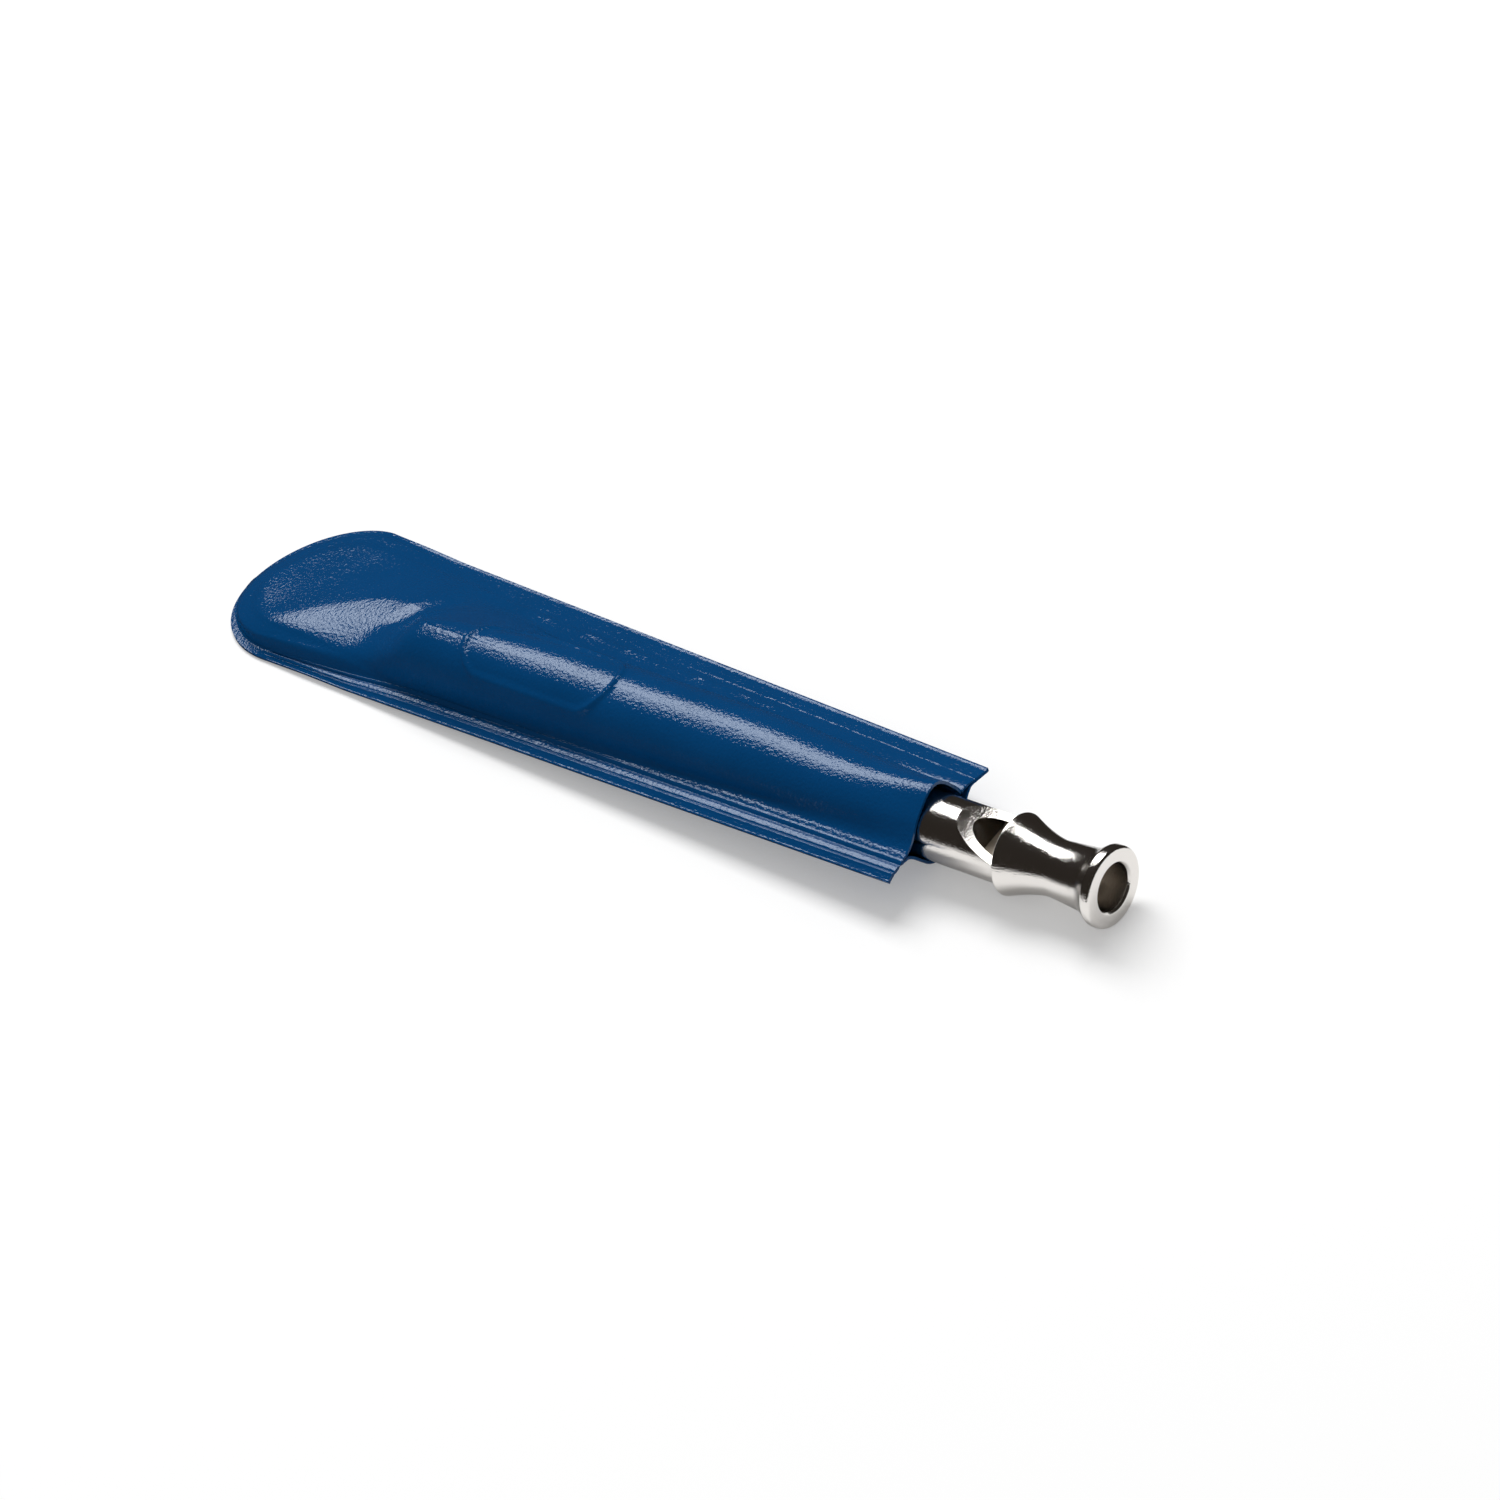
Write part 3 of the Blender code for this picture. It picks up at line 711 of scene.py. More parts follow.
for vert in spindle_mesh.verts:
    station = (spindle_high.x - vert.co.x) / MM
    threaded = THREAD_START < station < SPINDLE_LENGTH - PLAIN_END
    if threaded and radius_of(vert) > SPINDLE_RADIUS - THREAD_SKIN:
        phase = (station / THREAD_PITCH + angle_of(vert) / math.tau) % 1.0
        depth = THREAD_DEPTH * min(1.0, (station - THREAD_START) / THREAD_RUN_IN)
        sink(vert, depth * (1 - abs(2 * phase - 1)))
print("thread with %d rings" % ring_count)
keep(spindle_mesh, "threaded_spindle", "tuning_screw", "tuning_spindle", steel, sharp=60.0)

# %% [markdown]
# ## Bush, lock nut and knob
#
# The bush closes the barrel's back end. The nut and the knob are knurled so that wet fingers can turn
# them: straight grooves rolled into the rim, with plain chamfers at both ends. Cutting thirty grooves with
# a Boolean would be slow. The grip is spun with eight points for each groove instead, and the points on
# its rim move in along a wave.

# %% Bush and knurled grips
SPINDLE_BORE = 2.1
BUSH_SPIGOT = 7.0
BUSH_LENGTH = BUSH_SPIGOT + 2.0
BUSH_INSIDE = 3.35
GRIP_RADIUS = 4.45
GRIP_CHAMFER = 0.5
GRIP_END_RADIUS = GRIP_RADIUS - GRIP_CHAMFER
KNURL_COUNT = 30
KNURL_POINTS = 8
KNURL_DEPTH = 0.25
KNURL_SKIN = 0.01
NUT_LENGTH = 4.0
KNOB_LENGTH = 10.0
BLIND_HOLE = 6.3


def grip_rim(length):
    """Outline of a grip from its bore over the rim to the edge of its back."""
    return [(0, SPINDLE_BORE), (0, GRIP_END_RADIUS), (GRIP_CHAMFER, GRIP_RADIUS),
            (length - GRIP_CHAMFER, GRIP_RADIUS), (length, GRIP_END_RADIUS)]


def knurled(node, outline):
    """A grip with straight knurls rolled into its largest radius."""
    bm = turn(node, outline, segments=KNURL_COUNT * KNURL_POINTS)
    for vert in bm.verts:
        if radius_of(vert) > GRIP_RADIUS - KNURL_SKIN:
            sink(vert, KNURL_DEPTH / 2 * (1 - math.cos(KNURL_COUNT * angle_of(vert))))
    return bm


bush_mesh = turn("end_bush", [(0, SPINDLE_BORE), (0, BUSH_INSIDE), (BUSH_SPIGOT, BUSH_INSIDE),
                              (BUSH_SPIGOT, BARREL_RADIUS), (BUSH_LENGTH, BARREL_RADIUS),
                              (BUSH_LENGTH, SPINDLE_BORE)])
round_edges(bush_mesh, size=0.15, segments=3)
keep(bush_mesh, "end_plug", "whistle", "end_bush", plate)

nut_mesh = knurled("lock_nut", grip_rim(NUT_LENGTH) + [(NUT_LENGTH, SPINDLE_BORE)])
keep(nut_mesh, "knurled_lock_nut", "lock_nut", "lock_nut", plate)

knob_mesh = knurled("tuning_knob", grip_rim(KNOB_LENGTH)
                    + [(KNOB_LENGTH, 0), (BLIND_HOLE, 0), (BLIND_HOLE, SPINDLE_BORE)])
print("knob blank: %d faces" % len(knob_mesh.faces))

# %% [markdown]
# ## Cross pin
#
# A steel pin goes through the knob and the spindle, so that the knob can't come off. Its hole is a little
# wider, and is cut with the same rod at a larger radius.

# %% Cross pin and its hole
PIN_RADIUS = 0.75
PIN_HOLE = 0.85
PIN_STATION = 3.0
PIN_INSET = 0.5

pin_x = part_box("tuning_knob")[1].x - PIN_STATION * MM
knob_mesh = cut_away(knob_mesh, rod_across(pin_x, AXIS_Z, PIN_HOLE, length=3 * GRIP_RADIUS))
keep(knob_mesh, "knurled_knob", "tuning_screw", "tuning_knob", plate)
pin_mesh = rod_across(pin_x, AXIS_Z, PIN_RADIUS, length=2 * (GRIP_RADIUS - PIN_INSET))
round_edges(pin_mesh, size=0.08)
keep(pin_mesh, "cross_pin", "tuning_screw", "knob_pin", steel)

# %% [markdown]
# ## Vinyl
#
# Soft sheet with a fine leather-like grain, in a strong mid blue. The surface is satin: its highlights are
# broad and break up into specks. A rougher mirror would be as broad, but would lay an even haze over the
# dark blue. So the mirror stays fairly sharp, and a deep fine grain spreads it. The shine is tinted blue.

# %% Blue vinyl
VINYL_DEEP = (0.0003, 0.046, 0.152)
VINYL_BRIGHT = (0.0006, 0.056, 0.184)
VINYL_CLOUD = 9.0
VINYL_ROUGHNESS = 0.11
VINYL_HAZE = 0.03
VINYL_IOR = 1.4
VINYL_SHINE = 0.65
VINYL_SHINE_TINT = (0.75, 0.87, 1.0, 1)
GRAIN_SIZE = 0.45
GRAIN_HEIGHT = 0.08


def blue_vinyl():
    shine = {"IOR": VINYL_IOR, "Specular IOR Level": VINYL_SHINE, "Specular Tint": VINYL_SHINE_TINT}
    material, tree, shader, place = new_surface("blue_vinyl", shine)
    cloud = speckle(tree, place, VINYL_CLOUD)
    grain = speckle(tree, place, GRAIN_SIZE)
    blend(tree, cloud, VINYL_DEEP, VINYL_BRIGHT).to(shader, "Base Color")
    (VINYL_ROUGHNESS + VINYL_HAZE * cloud).to(shader, "Roughness")
    raise_surface(tree, shader, grain, GRAIN_HEIGHT)
    return material


vinyl = blue_vinyl()
print("vinyl ready:", vinyl.name)

# %% [markdown]
# ## Sleeve
#
# Two flat sheets are welded along both long sides and round the closed end, and then trimmed. The whistle
# pushes them apart. A cloth simulation could drape them, but a welded sleeve keeps its shape, and that
# shape can be read from its highlights. So each sheet is a grid with one row of points for each distance
# from the mouth, and a formula bends every row to its section. First comes the trimmed outline: it widens
# towards the closed end, runs slightly askew, and its round end leans to one side.

# %% Outline of the sleeve
SLEEVE_LENGTH = 129.05
POCKET_LENGTH = 78.25
TAPER_LENGTH = 22.0
MOUTH_HALF_WIDTH = 11.05
END_HALF_WIDTH = 14.0
MOUTH_OFFSET = 0.15
SKEW = math.tan(math.radians(3.05))
END_LEAN = 2.9
END_LEAN_POWER = 1.3
SEAM_AT_MOUTH = 5.4
SEAM_AT_END = 0.5
AXIS_HEIGHT = AXIS_Z / MM
STRAIGHT = SLEEVE_LENGTH - END_HALF_WIDTH
MOUTH_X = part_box("sleeve_top_sheet")[1].x


def middle_line(distance):
    past = max(distance - STRAIGHT, 0.0) / END_HALF_WIDTH
    return MOUTH_OFFSET + distance * SKEW - END_LEAN * past ** END_LEAN_POWER


def half_width(distance):
    if distance <= STRAIGHT:
        return MOUTH_HALF_WIDTH + (END_HALF_WIDTH - MOUTH_HALF_WIDTH) * distance / STRAIGHT
    past = (distance - STRAIGHT) / END_HALF_WIDTH
    return END_HALF_WIDTH * math.sqrt(max(1 - past * past, 0.0))


def seam_height(distance):
    left = max(1 - distance / (POCKET_LENGTH + TAPER_LENGTH), 0.0)
    return SEAM_AT_END + (SEAM_AT_MOUTH - SEAM_AT_END) * left


def from_edge(distance, y):
    """How far a point lies inside the trimmed outline."""
    aside = y - middle_line(distance)
    if distance <= STRAIGHT:
        return half_width(distance) - abs(aside)
    return END_HALF_WIDTH - math.hypot(distance - STRAIGHT, aside)


print("sleeve %.1f mm long, mouth at x = %.2f mm" % (SLEEVE_LENGTH, MOUTH_X / MM))

# %% [markdown]
# ### Strips
#
# The weld is a strip along each side. The near one gets narrower and the far one wider, and round the
# closed end only a thin rim is left. Both rise a little from the edge inwards, and that slope decides
# whether they mirror the lamp or the dark room. Flat strips would be one even tone, so each rise is a line
# through a few points. A change along the sleeve is written as where it starts and how long it takes.

# %% Strips along both sides
SHEET = 0.4
PRESSED_SHEET = 0.26
FULL_SHEET_FROM = (3.2, 1.2)
POCKET_GAP = 0.1
WELDED_GAP = 0.015
NEAR_STRIP = 4.3
NEAR_NARROWING = 0.85
NEAR_NARROWS = (25.0, 40.0)
NEAR_THINS = (84.0, 30.0)
FAR_STRIP = 3.8
FAR_WIDENING = 1.0
FAR_WIDENS = (26.0, 14.0)
FAR_THINS = (84.0, 14.0)
END_STRIP = 1.6
NEAR_RISE = ((0, 0), (1.05, 0.42), (3.4, 0.62), (4.4, 0.65), (9, 0.65))
FAR_RISE = ((0, 0), (0.5, 0.01), (5.0, 0.95), (9, 0.95))
RISE_FADES = (111.0, 12.0)


def ease(t):
    """A share that is kept from 0 to 1, with a soft start and stop."""
    t = min(max(t, 0.0), 1.0)
    return t * t * (3 - 2 * t)


def change(x, start, length):
    """A share that goes softly from 0 at a start to 1 a length further on."""
    return ease((x - start) / length)


def on_line(points, x):
    """A value on a line drawn through points."""
    for (x0, v0), (x1, v1) in zip(points, points[1:]):
        if x <= x1:
            return v0 + (v1 - v0) * (x - x0) / (x1 - x0)
    return points[-1][1]


def strip_width(distance, across):
    """Width of the weld; across is -1 on the near side and 1 on the far side."""
    if across < 0:
        width = NEAR_STRIP - NEAR_NARROWING * change(distance, *NEAR_NARROWS)
        thinned = change(distance, *NEAR_THINS)
    else:
        width = FAR_STRIP + FAR_WIDENING * change(distance, *FAR_WIDENS)
        thinned = change(distance, *FAR_THINS)
    width += (END_STRIP - width) * thinned
    return min(width, half_width(distance) / 2)


def pocket_gap(distance):
    """Half the gap between the sheets inside the weld; it closes at the rounded end."""
    return WELDED_GAP + (POCKET_GAP - WELDED_GAP) * ease((SLEEVE_LENGTH - distance) / (2 * END_STRIP))


def strip_level(distance, across, inside):
    """Height of the weld at a distance inside the trimmed edge."""
    rise = on_line(NEAR_RISE if across < 0 else FAR_RISE, inside)
    return seam_height(distance) + rise * (1 - change(distance, *RISE_FADES))


print("near strip rises %.2f mm inwards" % on_line(NEAR_RISE, NEAR_STRIP))

# %% [markdown]
# ### Section over the whistle
#
# Half a section runs from the crown to the weld. On the near side the upper sheet follows the tube and
# leaves it along a straight flank, as a stretched sheet does. On the far side it is slack: it stands off
# more and more, folds, and falls to the weld as a web. At the mouth it gapes. One spline could run through
# all this, but parts with fixed numbers of columns keep the columns in line from row to row.

# %% Round of the pocket
CLEAR_RADIUS = 4.65
GAPE = 1.15
GAPE_LENGTH = 18.0
GAPE_ANGLE = 16.0
GAPE_SPREAD = 27.0
SLACK = 0.00166
SLACK_POWER = 1.6
SLACK_START = 15.0
SLACK_AT_MOUTH = 0.3
SLACK_LENGTH = 30.0


def pocket_radius(distance, angle):
    """How far the upper sheet stands off the axis; the angle is from upright, positive to the far side."""
    opened = max(1 - distance / GAPE_LENGTH, 0.0) ** 2
    gape = GAPE * opened * math.exp(-((angle - GAPE_ANGLE) / GAPE_SPREAD) ** 2)
    slack = SLACK * max(angle + SLACK_START, 0.0) ** SLACK_POWER
    slack *= SLACK_AT_MOUTH + (1 - SLACK_AT_MOUTH) * ease(distance / SLACK_LENGTH)
    return CLEAR_RADIUS + gape + slack


def polar(radius, angle):
    turned = math.radians(angle)
    return Vector((radius * math.sin(turned), radius * math.cos(turned)))


print("pocket %.2f mm from the axis at its crown" % pocket_radius(POCKET_LENGTH / 2, 0))

# %% Flank, fold and web
ARC_COLUMNS = 26
FLANK_COLUMNS = 8
FILLET_COLUMNS = 8
FOOT = 1.1
FOOT_LEAST = 0.3
FOOT_ROOM = 0.15
LOWER_FOOT = 0.65
FOOT_SLOPE = 0.2
REACH_LEAST = 1.01 * CLEAR_RADIUS
FLANK_LEAST = 1e-6
FLANK_BEND = 1.5
FLANK_BEND_SHARE = 0.7
FOLD_ANGLE = 86.0
FOLD_ANGLE_LEAST = 40.0
FOLD_ANGLE_STEP = 0.25
FOLD_ROOM = 0.7
FOLD_REACH = 0.35
WEB_LEAST = 0.3
WEB_SLOPE = 0.13
WEB_BEND = 1.2
TIGHTENS = (64.0, 22.0)


def fillet(stop, corner, weld):
    """Points on a soft bend from the flank into the strip."""
    shares = [i / FILLET_COLUMNS for i in range(1, FILLET_COLUMNS + 1)]
    return [stop.lerp(corner, t).lerp(corner.lerp(weld, t), t) for t in shares]


def tight_side(radius_at, weld, foot):
    """Half a section that leaves the round along a straight flank; x is positive outwards."""
    corner = Vector((weld.x - foot, weld.y + FOOT_SLOPE * foot))
    reach = max(corner.length, REACH_LEAST)
    leave = 90 - math.degrees(math.atan2(corner.y, corner.x) + math.acos(CLEAR_RADIUS / reach))
    angles = [leave * i / ARC_COLUMNS for i in range(ARC_COLUMNS + 1)]
    points = [polar(radius_at(angle), angle) for angle in angles]
    start = points[-1]
    flank = max((corner - start).length, FLANK_LEAST)
    stop = start.lerp(corner, 1 - min(FLANK_BEND_SHARE, FLANK_BEND / flank))
    points += [start.lerp(stop, i / FLANK_COLUMNS) for i in range(1, FLANK_COLUMNS + 1)]
    return points + fillet(stop, corner, weld)


def slack_side(radius_at, weld):
    """Half a section that keeps bulging until it folds into a web, which falls gently to the strip."""
    columns = ARC_COLUMNS + FLANK_COLUMNS
    last = FOLD_ANGLE
    while last > FOLD_ANGLE_LEAST and polar(radius_at(last), last).x > weld.x - FOLD_ROOM:
        last -= FOLD_ANGLE_STEP
    points = [polar(radius_at(last * i / columns), last * i / columns) for i in range(columns + 1)]
    fold = min(points[-1].x + FOLD_REACH, weld.x - WEB_LEAST)
    web = weld.x - fold
    corner = Vector((fold, weld.y + WEB_SLOPE * web))
    on_web = corner.lerp(weld, min(WEB_BEND, web / 2) / web)
    return points + fillet(points[-1], corner, on_web)[:-1] + [weld]


def over_whistle(distance, side, across, weld):
    """Half a section where the whistle fills the sleeve; side is 1 for the upper sheet."""
    if side < 0:
        return tight_side(lambda angle: CLEAR_RADIUS, weld, LOWER_FOOT)
    if across < 0:
        foot = max(min(FOOT, weld.x - CLEAR_RADIUS - FOOT_ROOM), FOOT_LEAST)
        return tight_side(lambda angle: pocket_radius(distance, -angle), weld, foot)
    loose = slack_side(lambda angle: pocket_radius(distance, angle), weld)
    tight = tight_side(lambda angle: CLEAR_RADIUS, weld, FOOT)
    share = change(distance, *TIGHTENS)
    return [a.lerp(b, share) for a, b in zip(loose, tight)]


print("columns over half the whistle:", ARC_COLUMNS + FLANK_COLUMNS + FILLET_COLUMNS)

# %% [markdown]
# ### Sinking end
#
# Behind the knob nothing holds the sheets apart. The upper sheet stays up for a while, sinks in two soft
# steps along a line that slants across the sleeve, and goes on as a low cushion. The lower sheet only
# flattens out. One even slope would be simpler, but the real end has a knee and a hollow. So its height
# follows a line through points, with its corners softened.

# %% Height of the sinking end
SINKING = ((0, 1), (POCKET_LENGTH, 1), (81.5, 0.98), (83.5, 0.955), (88, 0.935), (91, 0.8), (94, 0.42),
           (96.5, 0.13), (104, 0.08), (116, 0), (140, 0))
SINK_LEAN = 0.8
SINK_MIDDLE = 3.2
SOFTENING = (-2.4, -1.6, -0.8, 0.0, 0.8, 1.6, 2.4)
RIDGE = ((0, 0.8), (86, 0.8), (95, 7.2), (103, 6.2), (109, 2.6), (116, -2), (140, -2))
RIDGE_CENTRES = (118.0, 11.0)
PILLOW_HEIGHT = 3.2
PILLOW_FALL = 0.0214
PILLOW_START = 96.0
PILLOW_ROUNDING = 1.3
NEAR_SAG = 0.34
NEAR_FOOT = 0.9
FAR_SAG_POWER = 1.25
RIM_SLOPE = 0.14
RIM_BENDS = (107.0, 8.0)


def soft_line(points, x, least=0.0):
    """A value on a line through points whose corners are softened."""
    return sum(on_line(points, max(x + step, least)) for step in SOFTENING) / len(SOFTENING)


def fullness(distance, side, y):
    """How much of the pocket's height is left."""
    if side < 0:
        return 1 - change(distance, POCKET_LENGTH, TAPER_LENGTH)
    place = distance + SINK_LEAN * (y - SINK_MIDDLE)
    return 1.0 if place < POCKET_LENGTH else soft_line(SINKING, place, least=POCKET_LENGTH)


def pillow(distance, side, across, t):
    """Height of the empty end above the strip, from its ridge at t = 0 to the strip at t = 1."""
    if side < 0:
        return 0.0
    height = PILLOW_HEIGHT - PILLOW_FALL * max(distance - PILLOW_START, 0.0)
    height *= (half_width(distance) / END_HALF_WIDTH) ** PILLOW_ROUNDING
    if across < 0:
        return height * (1 - NEAR_SAG * t * t - (1 - NEAR_SAG) * change(t, NEAR_FOOT, 1 - NEAR_FOOT))
    return height * (1 - t ** FAR_SAG_POWER)


def ridge_place(distance, side):
    """Where the highest line of the empty end runs, and the level it stands on."""
    y = soft_line(RIDGE, distance)
    y += (middle_line(distance) - y) * change(distance, *RIDGE_CENTRES)
    levels = [strip_level(distance, across, strip_width(distance, across)) for across in (1, -1)]
    return y, sum(levels) / 2 + side * pocket_gap(distance)


def rim_droop(distance, y):
    """How far the plain weld round the closed end bends down to its edge."""
    return -RIM_SLOPE * max(END_STRIP - from_edge(distance, y), 0.0) * change(distance, *RIM_BENDS)


print("cushion %.1f mm high" % PILLOW_HEIGHT)

# %% [markdown]
# ### One row of a sheet
#
# A row goes from trimmed edge to trimmed edge. Each half has its bulge, which is a blend of the round over
# the whistle and the low cushion, and its weld strip. Bulge and strip could be two meshes, but one row
# through both needs no joint.

# %% Bulge and strip
STRIP_COLUMNS = 44
GAP_CLOSES = 0.25


def half_section(distance, side, across):
    """The inside of one sheet from the crown to one trimmed edge, as (y, height)."""
    centre = middle_line(distance)
    half = half_width(distance)
    strip = strip_width(distance, across)
    weld_y = centre + across * (half - strip)
    level = strip_level(distance, across, strip) + side * pocket_gap(distance)
    full = over_whistle(distance, side, across, Vector((across * weld_y, side * (level - AXIS_HEIGHT))))
    ridge, ridge_level = ridge_place(distance, side)
    row = []
    for i, point in enumerate(full):
        t = i / (len(full) - 1)
        base = ridge_level + (level - ridge_level) * t
        low = Vector((ridge + (weld_y - ridge) * t, base + pillow(distance, side, across, t)))
        high = Vector((across * point.x, AXIS_HEIGHT + side * point.y))
        row.append(low.lerp(high, fullness(distance, side, low.x)))
    for i in range(1, STRIP_COLUMNS + 1):
        t = i / STRIP_COLUMNS
        inside = strip * (1 - t)
        gap = WELDED_GAP + (pocket_gap(distance) - WELDED_GAP) * (1 - ease(t / GAP_CLOSES))
        height = strip_level(distance, across, inside) + side * gap
        row.append(Vector((centre + across * (half - inside), height)))
    return row


print("points in half a row:", len(half_section(0, 1, 1)))

# %% [markdown]
# ### Weld lines and raised line
#
# From the trimmed edge inwards a strip has a flat band, a thin ridge with a groove beside it, a wider
# raised band, a deep groove and a last ridge where the sheet lifts away. Round the closed end the weld is
# plain. On top of the bulge is one plain raised line with round ends. A bump map could stand for these,
# but they catch the lamp on one side and are dark on the other, so their points are really moved.

# %% Relief of the weld
NEAR_RIDGES = ((0.05, 0.1, 0.1), (0.07, 1.1, 0.12), (-0.1, 1.38, 0.12), (-0.22, 2.7, 0.26),
               (0.06, 3.3, 0.12))
FAR_RIDGES = ((0.03, 0.25, 0.15), (-0.03, 0.8, 0.2), (0.04, 2.65, 0.15))
NEAR_RIDGES_STOP = (115.0, 1.0)
FAR_RIDGES_FADE = (42.0, 20.0)
FAR_RIDGES_LOSS = 0.8
FRAME_DISTANCE = 66.75
FRAME_Y = 0.6
FRAME_HALF_LENGTH = 13.0
FRAME_HALF_WIDTH = 4.4
FRAME_LINE = 0.34
FRAME_HEIGHT = 0.36


def bump(x, centre, width):
    return math.exp(-((x - centre) / width) ** 2)


def weld_relief(distance, y):
    """Ridges and grooves of the weld, each with its height, its place inside the edge and its width."""
    inside = from_edge(distance, y)
    if y < middle_line(distance):
        ridges = NEAR_RIDGES
        left = 1 - change(distance, *NEAR_RIDGES_STOP)
        inside *= max(1.0, (NEAR_STRIP - NEAR_NARROWING) / strip_width(distance, -1))
    else:
        ridges = FAR_RIDGES
        left = 1 - FAR_RIDGES_LOSS * change(distance, *FAR_RIDGES_FADE)
    return left * sum(height * bump(inside, centre, width) for height, centre, width in ridges)


def raised_frame(distance, y):
    """One raised line in the shape of a bar with round ends, on top of the sleeve."""
    past = max(abs(distance - FRAME_DISTANCE) - (FRAME_HALF_LENGTH - FRAME_HALF_WIDTH), 0.0)
    return FRAME_HEIGHT * bump(math.hypot(past, y - FRAME_Y), FRAME_HALF_WIDTH, FRAME_LINE)


print("ridges:", len(NEAR_RIDGES), len(FAR_RIDGES))

# %% [markdown]
# ### Soft unevenness
#
# A soft sheet is never quite even. It has slow waves, a dent across the sinking end where it creased, and
# small puckers beside the far weld, which drew the sheet in as it cooled. They could be sculpted by hand;
# noise for the waves and puckers and one slanting groove for the dent are easier to repeat.

# %% Waves, dent and puckers
SAG_FROM = (4.5, 3.0)
WAVE_HEIGHT = 0.14
WAVE_LENGTH = 17
WAVE_WIDTH = 9
WAVE_SEED = 0.3
DENT_DEPTH = 0.5
DENT_WIDTH = 2.4
DENT_DISTANCE = 96.0
DENT_Y = 2.5
DENT_LEAN = 0.6
DENT_NEAR_FADE = 3.0
DENT_FAR_END = 10.0
DENT_FAR_FADE = 4.0
PUCKER_HEIGHT = 0.22
PUCKER_LENGTH = 2.2
PUCKER_WIDTH = 2.0
PUCKER_SEED = 1.7
PUCKER_INSIDE = 4.1
PUCKER_SPREAD = 0.5
PUCKERS_START = (24.0, 12.0)
PUCKERS_END = 90.0
PUCKERS_FADE = 8.0


def dent(distance, y):
    along = distance - DENT_DISTANCE + DENT_LEAN * (y - DENT_Y)
    share = ease(y / DENT_NEAR_FADE) * ease((DENT_FAR_END - y) / DENT_FAR_FADE)
    return -DENT_DEPTH * share * bump(along, 0.0, DENT_WIDTH)


def puckers(distance, y):
    if y <= 0:
        return 0.0
    height = noise.noise(Vector((distance / PUCKER_LENGTH, y / PUCKER_WIDTH, PUCKER_SEED)))
    height *= PUCKER_HEIGHT * bump(from_edge(distance, y), PUCKER_INSIDE, PUCKER_SPREAD)
    return height * change(distance, *PUCKERS_START) * ease((PUCKERS_END - distance) / PUCKERS_FADE)


def sag(distance, y):
    """All the unevenness of the upper sheet."""
    waves = WAVE_HEIGHT * noise.noise(Vector((distance / WAVE_LENGTH, y / WAVE_WIDTH, WAVE_SEED)))
    loose = change(from_edge(distance, y), *SAG_FROM)
    return loose * (waves + dent(distance, y)) + puckers(distance, y)


print("dent %.1f mm deep" % DENT_DEPTH)

# %% [markdown]
# ### Sheets as grids
#
# Each sheet is a closed slab. A modifier could thicken a single skin, but then the inside would show the
# relief that the tool pressed into the outside only. So a flat grid is extruded once, and its points are
# set row by row on the two skins. The rows lie closer where the upper sheet has its raised line.

# %% Rows of both skins
LOWER_RELIEF_FADES = (88.0, 10.0)
ROW_GAP = 0.77
FINE_GAP = 0.25
FINE_MARGIN = 3 * FRAME_LINE
CAP_ROWS = 30
CAP_END = math.radians(87)


def thickness(distance, y):
    return PRESSED_SHEET + (SHEET - PRESSED_SHEET) * change(from_edge(distance, y), *FULL_SHEET_FROM)


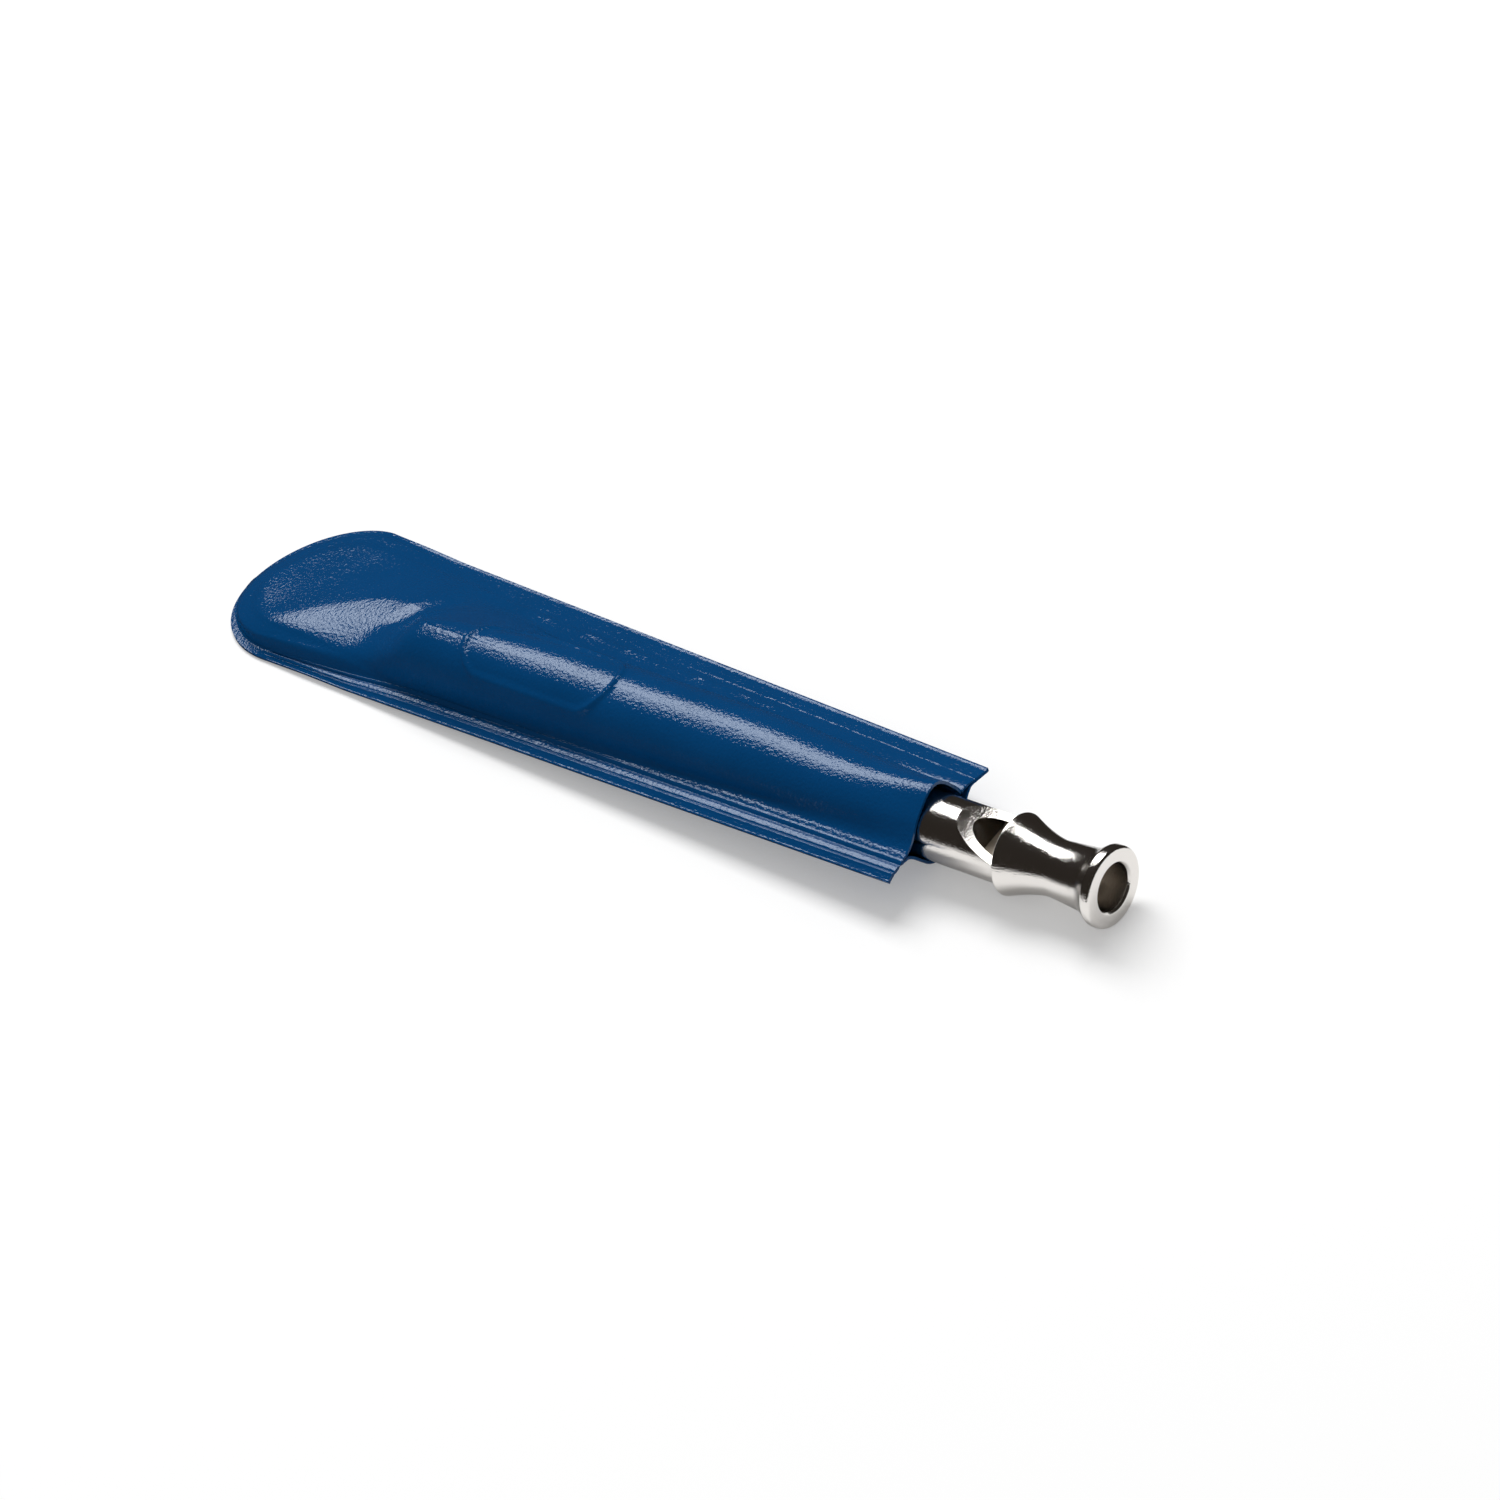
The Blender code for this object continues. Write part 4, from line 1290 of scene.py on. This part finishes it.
def sheet_rows(distance, side):
    """One row of points on the inside and on the outside of a sheet."""
    inner = half_section(distance, side, -1)[::-1] + half_section(distance, side, 1)[1:]
    outer = []
    for i, point in enumerate(inner):
        before = inner[max(i - 1, 0)]
        after = inner[min(i + 1, len(inner) - 1)]
        direction = (after - before).normalized()
        normal = side * Vector((-direction.y, direction.x))
        relief = weld_relief(distance, point.x)
        if side > 0:
            relief += raised_frame(distance, point.x)
        else:
            relief *= 1 - change(distance, *LOWER_RELIEF_FADES)
        outer.append(point + normal * (thickness(distance, point.x) + relief))
    shift = [rim_droop(distance, point.x) for point in inner]
    if side > 0:
        shift = [droop + sag(distance, point.x) for droop, point in zip(shift, inner)]
    return [[point + Vector((0, s)) for point, s in zip(skin, shift)] for skin in (inner, outer)]


def spread(start, end, gap):
    """Even distances from a start up to, but without, an end."""
    count = round((end - start) / gap)
    return [start + (end - start) * i / count for i in range(count)]


def row_distances(side):
    first = FRAME_DISTANCE - FRAME_HALF_LENGTH - FINE_MARGIN
    last = FRAME_DISTANCE + FRAME_HALF_LENGTH + FINE_MARGIN
    body = spread(0, first, ROW_GAP) + spread(first, last, FINE_GAP if side > 0 else ROW_GAP)
    body += spread(last, STRAIGHT, ROW_GAP)
    cap = [END_HALF_WIDTH * math.sin(CAP_END * i / CAP_ROWS) for i in range(CAP_ROWS + 1)]
    return body + [STRAIGHT + past for past in cap]


print("rows:", len(row_distances(1)), len(row_distances(-1)))

# %% Build both sheets
def vinyl_sheet(name, node, side):
    distances = row_distances(side)
    rows = [sheet_rows(distance, side) for distance in distances]
    last_row = len(rows) - 1
    last_column = len(rows[0][0]) - 1
    bm = bmesh.new()
    bmesh.ops.create_grid(bm, x_segments=last_row, y_segments=last_column, size=0.5)
    grown = bmesh.ops.extrude_face_region(bm, geom=bm.faces[:] + bm.edges[:] + bm.verts[:])
    outside = {item for item in grown["geom"] if isinstance(item, bmesh.types.BMVert)}
    for vert in bm.verts:
        row = round((vert.co.x + 0.5) * last_row)
        column = round((vert.co.y + 0.5) * last_column)
        y, z = rows[row][1 if vert in outside else 0][column]
        vert.co = Vector((MOUTH_X - distances[row] * MM, y * MM, z * MM))
    keep(bm, name, "sleeve", node, vinyl, sharp=50.0)


vinyl_sheet("upper_vinyl_sheet", "sleeve_top_sheet", 1)
vinyl_sheet("lower_vinyl_sheet", "sleeve_bottom_sheet", -1)
